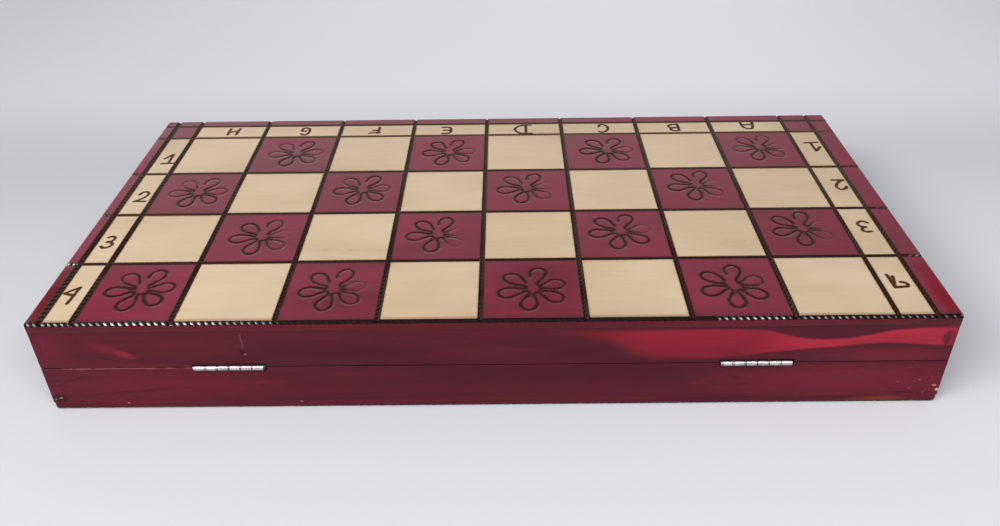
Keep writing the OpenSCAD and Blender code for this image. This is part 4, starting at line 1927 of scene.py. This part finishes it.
GRAIN_DARK = srgb(58, 17, 27)
CRIMSON = srgb(138, 32, 50)
RUDDY = srgb(110, 25, 45)
WORN = srgb(190, 138, 128)
UPPER_MARKS = (
    Patch((-60.0, 31.0), (95.0, 10.0), GRAIN_DARK, 0.5, 0.9, 0.02),
    Patch((-160.0, 33.5), (12.0, 4.0), CRIMSON, 0.35, 0.9, -0.4),
    Patch((-153.5, 30.8), (5.5, 2.6), CRIMSON, 0.7, 0.9, -0.35),
    # Painted shade: a near-black band along the joint between the halves
    Patch((-55.0, 23.9), (42.0, 0.5), srgb(38, 6, 14), 0.7, 0.6, ragged=2.0),
    Patch((-184.0, 34.0), (13.0, 14.0), RUDDY, 0.5, 0.9),
    Patch((163.0, 26.5), (40.0, 5.5), RUDDY, 0.85, 0.8),
    Patch((125.0, 42.6), (80.0, 1.3), GRAIN_DARK, 0.5, 0.8),
    Patch((-103.4, 36.5), (0.5, 6.5), srgb(128, 70, 80), 0.6, 0.7, ragged=1.2),
    Patch((-104.0, 31.8), (1.8, 2.2), srgb(54, 0, 8), 0.95, 0.8),
    Patch((-102.9, 30.4), (0.8, 0.6), srgb(176, 120, 120), 0.5, 0.6),
    Patch((186.4, 35.6), (2.6, 5.6), srgb(78, 18, 33), 0.85, 0.9, ragged=0.3),
    Patch((188.5, 41.2), (5.0, 1.7), srgb(116, 30, 46), 0.85, 0.8),
)
LOWER_MARKS = (
    Patch((-145.0, 13.0), (75.0, 13.0), RUDDY, 0.65, 0.9),
    Patch((150.0, 13.0), (80.0, 13.0), RUDDY, 0.95, 0.8),
    Patch((20.0, 17.0), (90.0, 7.0), GRAIN_DARK, 0.35, 0.9),
    Patch((-150.0, 10.6), (34.0, 1.1), GRAIN_DARK, 0.65, 0.9, 0.09),
    Patch((-177.5, 17.5), (10.0, 1.1), GRAIN_DARK, 0.55, 0.8, 0.33),
    Patch((-100.0, 15.0), (16.0, 1.4), CRIMSON, 0.22, 0.9),
    Patch((176.0, 6.2), (12.0, 0.8), GRAIN_DARK, 0.7, 0.6),
    Patch((-187.0, 6.6), (4.4, 2.8), srgb(30, 12, 16), 0.85, 0.7),
    Patch((-186.6, 7.0), (1.3, 0.4), WORN, 0.75, 0.5, 0.2),
    Patch((-189.0, 6.2), (0.5, 0.5), WORN, 0.6, 0.5),
    Patch((188.0, 10.0), (1.1, 0.6), WORN, 0.8, 0.5),
    Patch((189.8, 7.4), (1.0, 0.9), srgb(214, 170, 160), 0.9, 0.5),
    Patch((172.0, 12.0), (0.5, 0.3), WORN, 0.5, 0.5),
    Patch((177.5, 8.5), (0.5, 0.3), WORN, 0.5, 0.5),
    Patch((181.0, 13.0), (0.6, 0.3), WORN, 0.4, 0.5),
    Patch((184.0, 6.0), (0.5, 0.3), WORN, 0.5, 0.5),
    Patch((-156.0, 23.15), (28.0, 0.3), srgb(164, 96, 100), 0.45, 0.5, ragged=2.0),
)
EDGE_MARKS = (
    Patch((0.0, 45.0), (230.0, 6.0), srgb(104, 22, 36), 0.6, 0.5),
    Patch((0.0, 45.0), (120.0, 6.0), srgb(76, 20, 31), 0.5, 0.9),
    Patch((167.0, 2.6), (20.0, 2.2), srgb(140, 58, 44), 0.45, 0.9),
    Patch((-158.0, 3.9), (0.7, 0.4), WORN, 0.8, 0.5),
    Patch((-83.0, 3.9), (0.6, 0.4), WORN, 0.8, 0.5),
)
UPPER_END_MARKS = (
    Patch((-184.0, 34.0), (13.0, 14.0), RUDDY, 0.5, 0.9),
    Patch((190.0, 36.5), (6.0, 8.0), srgb(132, 28, 44), 0.85, 0.5),
    Patch((186.4, 35.6), (2.6, 5.6), srgb(78, 18, 33), 0.85, 0.9, ragged=0.3),
)

STAINED_FACE = FaceFinish(
    "stained_face",
    deep=srgb(92, 0, 26),
    plain=srgb(118, 8, 41),
    bright=srgb(144, 22, 60),
    halo=srgb(100, 34, 44),
    rim=srgb(62, 16, 20),
    core=srgb(62, 16, 16),
    scorch=srgb(66, 10, 20),
    scorch_share=0.5,
    patches=(
        Patch((-188.0, -78.0), (5.5, 32.0), srgb(96, 2, 16), 0.95, 0.8, axis=1),
        Patch((188.0, -80.0), (6.5, 34.0), srgb(126, 10, 34), 0.9, 0.8, axis=1),
        Patch((0.0, -100.0), (175.0, 44.0), srgb(108, 8, 32), 0.25, 0.9, axis=1),
        Patch((-160.0, -84.0), (44.0, 44.0), srgb(124, 4, 40), 0.55, 0.9, axis=1),
        Patch((18.0, -75.0), (27.0, 27.0), srgb(94, 6, 32), 0.45, 0.9, axis=1),
    ),
)
PALE_FACE = FaceFinish(
    "pale_face",
    deep=srgb(197, 167, 128),
    plain=srgb(212, 186, 151),
    bright=srgb(226, 204, 174),
    halo=srgb(164, 118, 74),
    rim=srgb(80, 46, 24),
    core=srgb(62, 34, 18),
    scorch=srgb(150, 110, 72),
    scorch_share=0.55,
    patches=(
        Patch((0.0, 84.0), (200.0, 12.0), srgb(190, 166, 136), 0.3, 0.6, axis=1),
        Patch((186.0, 55.0), (70.0, 60.0), srgb(180, 156, 126), 0.3, 0.9, axis=1),
        Patch((-182.0, 60.0), (16.0, 40.0), srgb(186, 162, 132), 0.3, 0.8, axis=1),
        Patch((10.0, -96.0), (110.0, 40.0), srgb(194, 166, 130), 0.25, 0.8, axis=1),
    ),
)
FOLD_GROOVE = GrooveFinish(
    "burnt_fold",
    char=srgb(17, 2, 6),
    crest=srgb(22, 4, 8),
    ash=srgb(28, 8, 11),
    pooled=(
        (-192.0, -162.0, 0.45), (-158.0, -112.0, 1.0), (-108.0, -90.0, 0.5),
        (94.0, 118.0, 0.8), (126.0, 148.0, 0.4), (152.0, 192.0, 0.25),
    ),
)
NICKEL = MetalFinish("nickel", srgb(208, 200, 199), srgb(178, 170, 166), 0.22, 2)
PIN_STEEL = MetalFinish("pin_steel", srgb(190, 188, 184), srgb(140, 136, 130), 0.28, 0)
SCREW_STEEL = MetalFinish("screw_steel", srgb(212, 208, 200), srgb(150, 144, 134), 0.3, 2)


@dataclass
class BoardHalf:
    """The wooden tray of one half: its playing panel and four rails.

    Attributes:
        half: Which half.
        shop: Nodes and materials.
        rail_ease: Width of the rails' eased edges, in millimetres.
    """

    half: Half
    shop: Workshop
    rail_ease: float = 0.4

    def build(self) -> None:
        """Builds and dresses the panel and the rails."""
        self._panel()
        upper = self.half is Half.UPPER
        near_marks = UPPER_MARKS if upper else LOWER_MARKS
        end_marks = UPPER_END_MARKS if upper else LOWER_MARKS
        finishes = {
            "hinge_rail": RailFinish("hinge_side", streaked=upper, patches=near_marks),
            "latch_rail": RailFinish("latch_side"),
            "left_rail": RailFinish("left_end", along_x=False, patches=end_marks),
            "right_rail": RailFinish("right_end", along_x=False, patches=end_marks),
        }
        boxes = np.array([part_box(f"{self.half.prefix}_{name}") for name in finishes]) / MM
        low, high = boxes[:, 0].min(0), boxes[:, 1].max(0)
        for name, finish in finishes.items():
            node = f"{self.half.prefix}_{name}"
            dress = (self.shop.finish(finish), self.shop.finish(BareWoodFinish(along_x=finish.along_x)))
            rail = RailPiece(node, self.half.value, "rail", self.rail_ease, dress, low, high, self.half)
            piece = rail.build(self.shop.nodes[node])
            LOG.info("%s: rail", piece.name)

    def _panel(self) -> None:
        """Builds the playing panel over its CAD node."""
        node = f"{self.half.prefix}_playing_panel"
        low, high = (np.array(corner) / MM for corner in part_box(node))
        upper = self.half is Half.UPPER
        order = 1 if upper else -1
        strays = {"file_stray": FILE_STRAY[::order], "rank_stray": RANK_STRAY[::order]}
        plan = BoardPlan(low[0], high[0], low[1], high[1], high[2] - low[2], **strays)
        face_z = high[2] if upper else low[2]
        worn = {} if upper else {"corner": 2.4, "edge_round": 1.5}
        piece = PlayingPanel(self.half, plan, face_z, **worn).build()
        for material in (
            STAINED_FACE.material(plan),
            PALE_FACE.material(plan),
            self.shop.finish(GrooveFinish()),
            self.shop.finish(FOLD_GROOVE),
            self.shop.finish(BareWoodFinish("panel_inside", stained_rim=True)),
            self.shop.finish(RailFinish("panel_edge", patches=EDGE_MARKS)),
        ):
            piece.data.materials.append(material)
        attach(piece, self.half.value)
        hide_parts(node)
        LOG.info("%s: %d vertices, %d faces", piece.name, len(piece.data.vertices), len(piece.data.polygons))


@dataclass
class Hinge:
    """One butt hinge: two leaves, a riveted pin and four screws.

    Attributes:
        side: left or right.
        shop: Nodes and materials.
        ease: Width of the eased edges, in millimetres.
    """

    side: str
    shop: Workshop
    ease: float = 0.12

    def build(self) -> None:
        """Builds and dresses the hinge's pieces."""
        low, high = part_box(f"{self.side}_hinge_pin")
        plated = replace(NICKEL, name=f"nickel_{self.side}", brushed=0, seams_x=(low[0] + high[0]) / 2 / MM)
        parts = [
            ("lower_leaf", "lower_half", "hinge", plated),
            ("upper_leaf", "upper_half", "hinge", plated),
            ("pin", "lower_half", "hinge_pin", PIN_STEEL),
            ("lower_screws", "lower_half", "screw", SCREW_STEEL),
            ("upper_screws", "upper_half", "screw", SCREW_STEEL),
        ]
        for name, body, slot, finish in parts:
            node = f"{self.side}_hinge_{name}"
            eased = EasedPiece(node, body, slot, self.ease, (self.shop.finish(finish),))
            piece = eased.build(self.shop.nodes[node])
            LOG.info("%s: hinge part", piece.name)


@dataclass
class SwingHook:
    """One swing hook on the latch side with its pivot screw and catch screw.

    Attributes:
        side: left or right.
        shop: Nodes and materials.
        ease: Width of the eased edges, in millimetres.
    """

    side: str
    shop: Workshop
    ease: float = 0.25

    def build(self) -> None:
        """Builds and dresses the hook and its screws."""
        parts = [
            (f"{self.side}_hook", f"{self.side}_hook", "hook", NICKEL),
            (f"{self.side}_hook_screw", "upper_half", "screw", SCREW_STEEL),
            (f"{self.side}_catch_screw", "lower_half", "screw", SCREW_STEEL),
        ]
        for node, body, slot, finish in parts:
            eased = EasedPiece(node, body, slot, self.ease, (self.shop.finish(finish),))
            piece = eased.build(self.shop.nodes[node])
            LOG.info("%s: latch part", piece.name)


# Studio


@dataclass(frozen=True)
class Softbox:
    """A rectangular lamp.

    Attributes:
        name: The lamp's name.
        place: Where it hangs, in metres.
        aim: The point it looks at.
        size: Its width and height, in metres.
        power: Its power, in watts.
    """

    name: str
    place: tuple[float, float, float]
    aim: tuple[float, float, float]
    size: tuple[float, float]
    power: float

    def hang(self) -> None:
        """Adds the lamp to the scene."""
        light = bpy.data.lights.new(self.name, "AREA")
        light.shape = "RECTANGLE"
        light.size, light.size_y = self.size
        light.energy = self.power
        lamp = bpy.data.objects.new(self.name, light)
        lamp.location = self.place
        aim = Vector(self.aim) - Vector(self.place)
        lamp.rotation_euler = aim.to_track_quat("-Z", "Y").to_euler()
        bpy.context.scene.collection.objects.link(lamp)


# Black, and the width of the camera's sensor in millimetres
BLACK = srgb(0, 0, 0)
SENSOR_WIDTH = 36.0


@dataclass(frozen=True)
class Studio:
    """Floor, surroundings, lamps and camera.

    Attributes:
        lens: Focal length in millimetres.
        eye: The camera's place in metres.
        turn: The camera's rotation about X, Y and Z in radians.
        ambient: Brightness of the room as a lamp.
        mirrored: Brightness of the room in reflections.
        lamps: The lamps.
        shade_at: X and Y in metres of the middle of the floor's round shade.
        floor_half: Half the side of the floor, in metres.
    """

    lens: float = 31.885
    eye: tuple[float, float, float] = (0.00633, -0.38101, 0.26689)
    turn: tuple[float, float, float] = (0.97639, 0.01281, 0.00078)
    ambient: float = 0.27
    mirrored: float = 0.52
    lamps: tuple[Softbox, ...] = (
        Softbox("overhead", (-0.3, -0.95, 1.35), (0.0, 0.0, 0.0), (2.0, 1.4), 8.0),
        Softbox("window", (-0.7, -0.68, 0.79), (-0.1, -0.1, 0.04), (0.78, 0.38), 9.6),
        Softbox("side_window", (0.5, -0.75, 0.9), (0.1, -0.1, 0.04), (0.3, 0.3), 3.2),
        Softbox("backdrop", (-0.52, 1.8, 0.5), (0.0, 0.0, 0.1), (3.0, 0.9), 5.0),
    )
    shade_at: tuple[float, float] = (-0.5, -0.8)
    floor_half: float = 4.0

    def build(self) -> None:
        """Sets up everything around the object."""
        self._floor()
        self._surroundings()
        for lamp in self.lamps:
            lamp.hang()
        self._camera()
        bpy.context.scene.view_settings.view_transform = "Standard"

    def _floor(self) -> None:
        """A large pale sheet whose tone is painted light and shade: it rises and falls from front to back,
        darkens to the left, to the far right and round a point in front of the box where the lamps light it
        most, and glows behind the box.
        """
        corners = np.array([[-1, -1, 0], [1, -1, 0], [1, 1, 0], [-1, 1, 0]]) * self.floor_half
        floor = mesh_piece("floor", corners, [(np.array([[0, 1, 2, 3]]), np.zeros(1), np.zeros(1, bool))])
        graph = NodeGraph("pale_sheet")
        drift = graph.noise((1.4, 1.4, 1.4), detail=2.0)
        x, y, _ = graph.axes()
        along = graph.fade(y + drift * 0.1, -0.25, 1.25)
        # Painted light and shade from front to back
        shades = [(0.0, 241), (0.2, 226), (0.34, 234), (0.55, 247), (1.0, 252)]
        sheet = graph.ramp(along, [(stop, srgb(shade, shade, min(255, shade + 6))) for stop, shade in shades])
        # Painted shade towards the left and towards the far right
        sheet = graph.blend(graph.fade(x, -0.5, 0.5, 0.26, 0.0), sheet, BLACK)
        sheet = graph.blend(graph.fade(x, 0.3, 0.9, 0.0, 0.14), sheet, BLACK)
        # Painted light: a glow behind the box that camera and glossy rays see
        glow = graph.fade(y, 0.12, 0.27, 0.0, 0.17) * graph.fade(abs(x), 0.1, 0.6, 1.0, 0.3)
        rays = ("Is Camera Ray", "Is Glossy Ray")
        camera, glossy = (graph.step("ShaderNodeLightPath", {}, ray) for ray in rays)
        seen = camera.most(glossy)
        painted_glow = glow * seen
        # Painted shade round a point in front of the box, under the lamps, for camera and glossy rays
        aside, back = x - self.shade_at[0], y - self.shade_at[1]
        away = graph.math("SQRT", aside * aside + back * back)
        sheet = graph.blend(graph.fade(away, 0.1, 0.75, 0.4, 0.0) * seen, sheet, BLACK)
        graph.surface(Base_Color=sheet, Roughness=0.75, Specular_IOR_Level=0.2)
        graph.surface(Emission_Color=srgb(250, 250, 255), Emission_Strength=painted_glow)
        floor.data.materials.append(graph.material)

    def _surroundings(self) -> None:
        """A plain, nearly white room all round."""
        world = bpy.data.worlds.new("room")
        bpy.context.scene.world = world
        world.use_nodes = True
        background = world.node_tree.nodes["Background"]
        background.inputs["Color"].default_value = srgb(246, 247, 252)
        path = world.node_tree.nodes.new("ShaderNodeLightPath")
        strength = world.node_tree.nodes.new("ShaderNodeMapRange")
        strength.inputs["To Min"].default_value = self.ambient
        strength.inputs["To Max"].default_value = self.mirrored
        world.node_tree.links.new(path.outputs["Is Glossy Ray"], strength.inputs["Value"])
        world.node_tree.links.new(strength.outputs[0], background.inputs["Strength"])

    def _camera(self) -> None:
        """The camera, where the lines of the board in the photograph put it."""
        data = bpy.data.cameras.new("camera")
        data.sensor_width = SENSOR_WIDTH
        data.sensor_fit = "HORIZONTAL"
        data.lens = self.lens
        data.clip_start, data.clip_end = 0.01, 50.0
        camera = bpy.data.objects.new("camera", data)
        camera.location = self.eye
        camera.rotation_euler = self.turn
        bpy.context.scene.collection.objects.link(camera)
        bpy.context.scene.camera = camera


def main() -> None:
    """Builds the whole scene around the frame."""
    logging.basicConfig(level=logging.INFO, format="%(name)s: %(message)s")
    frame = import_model()
    Studio().build()
    shop = Workshop(frame["nodes"])
    for half in Half:
        BoardHalf(half, shop).build()
    for side in ("left", "right"):
        Hinge(side, shop).build()
        SwingHook(side, shop).build()


if __name__ == "__main__":
    main()
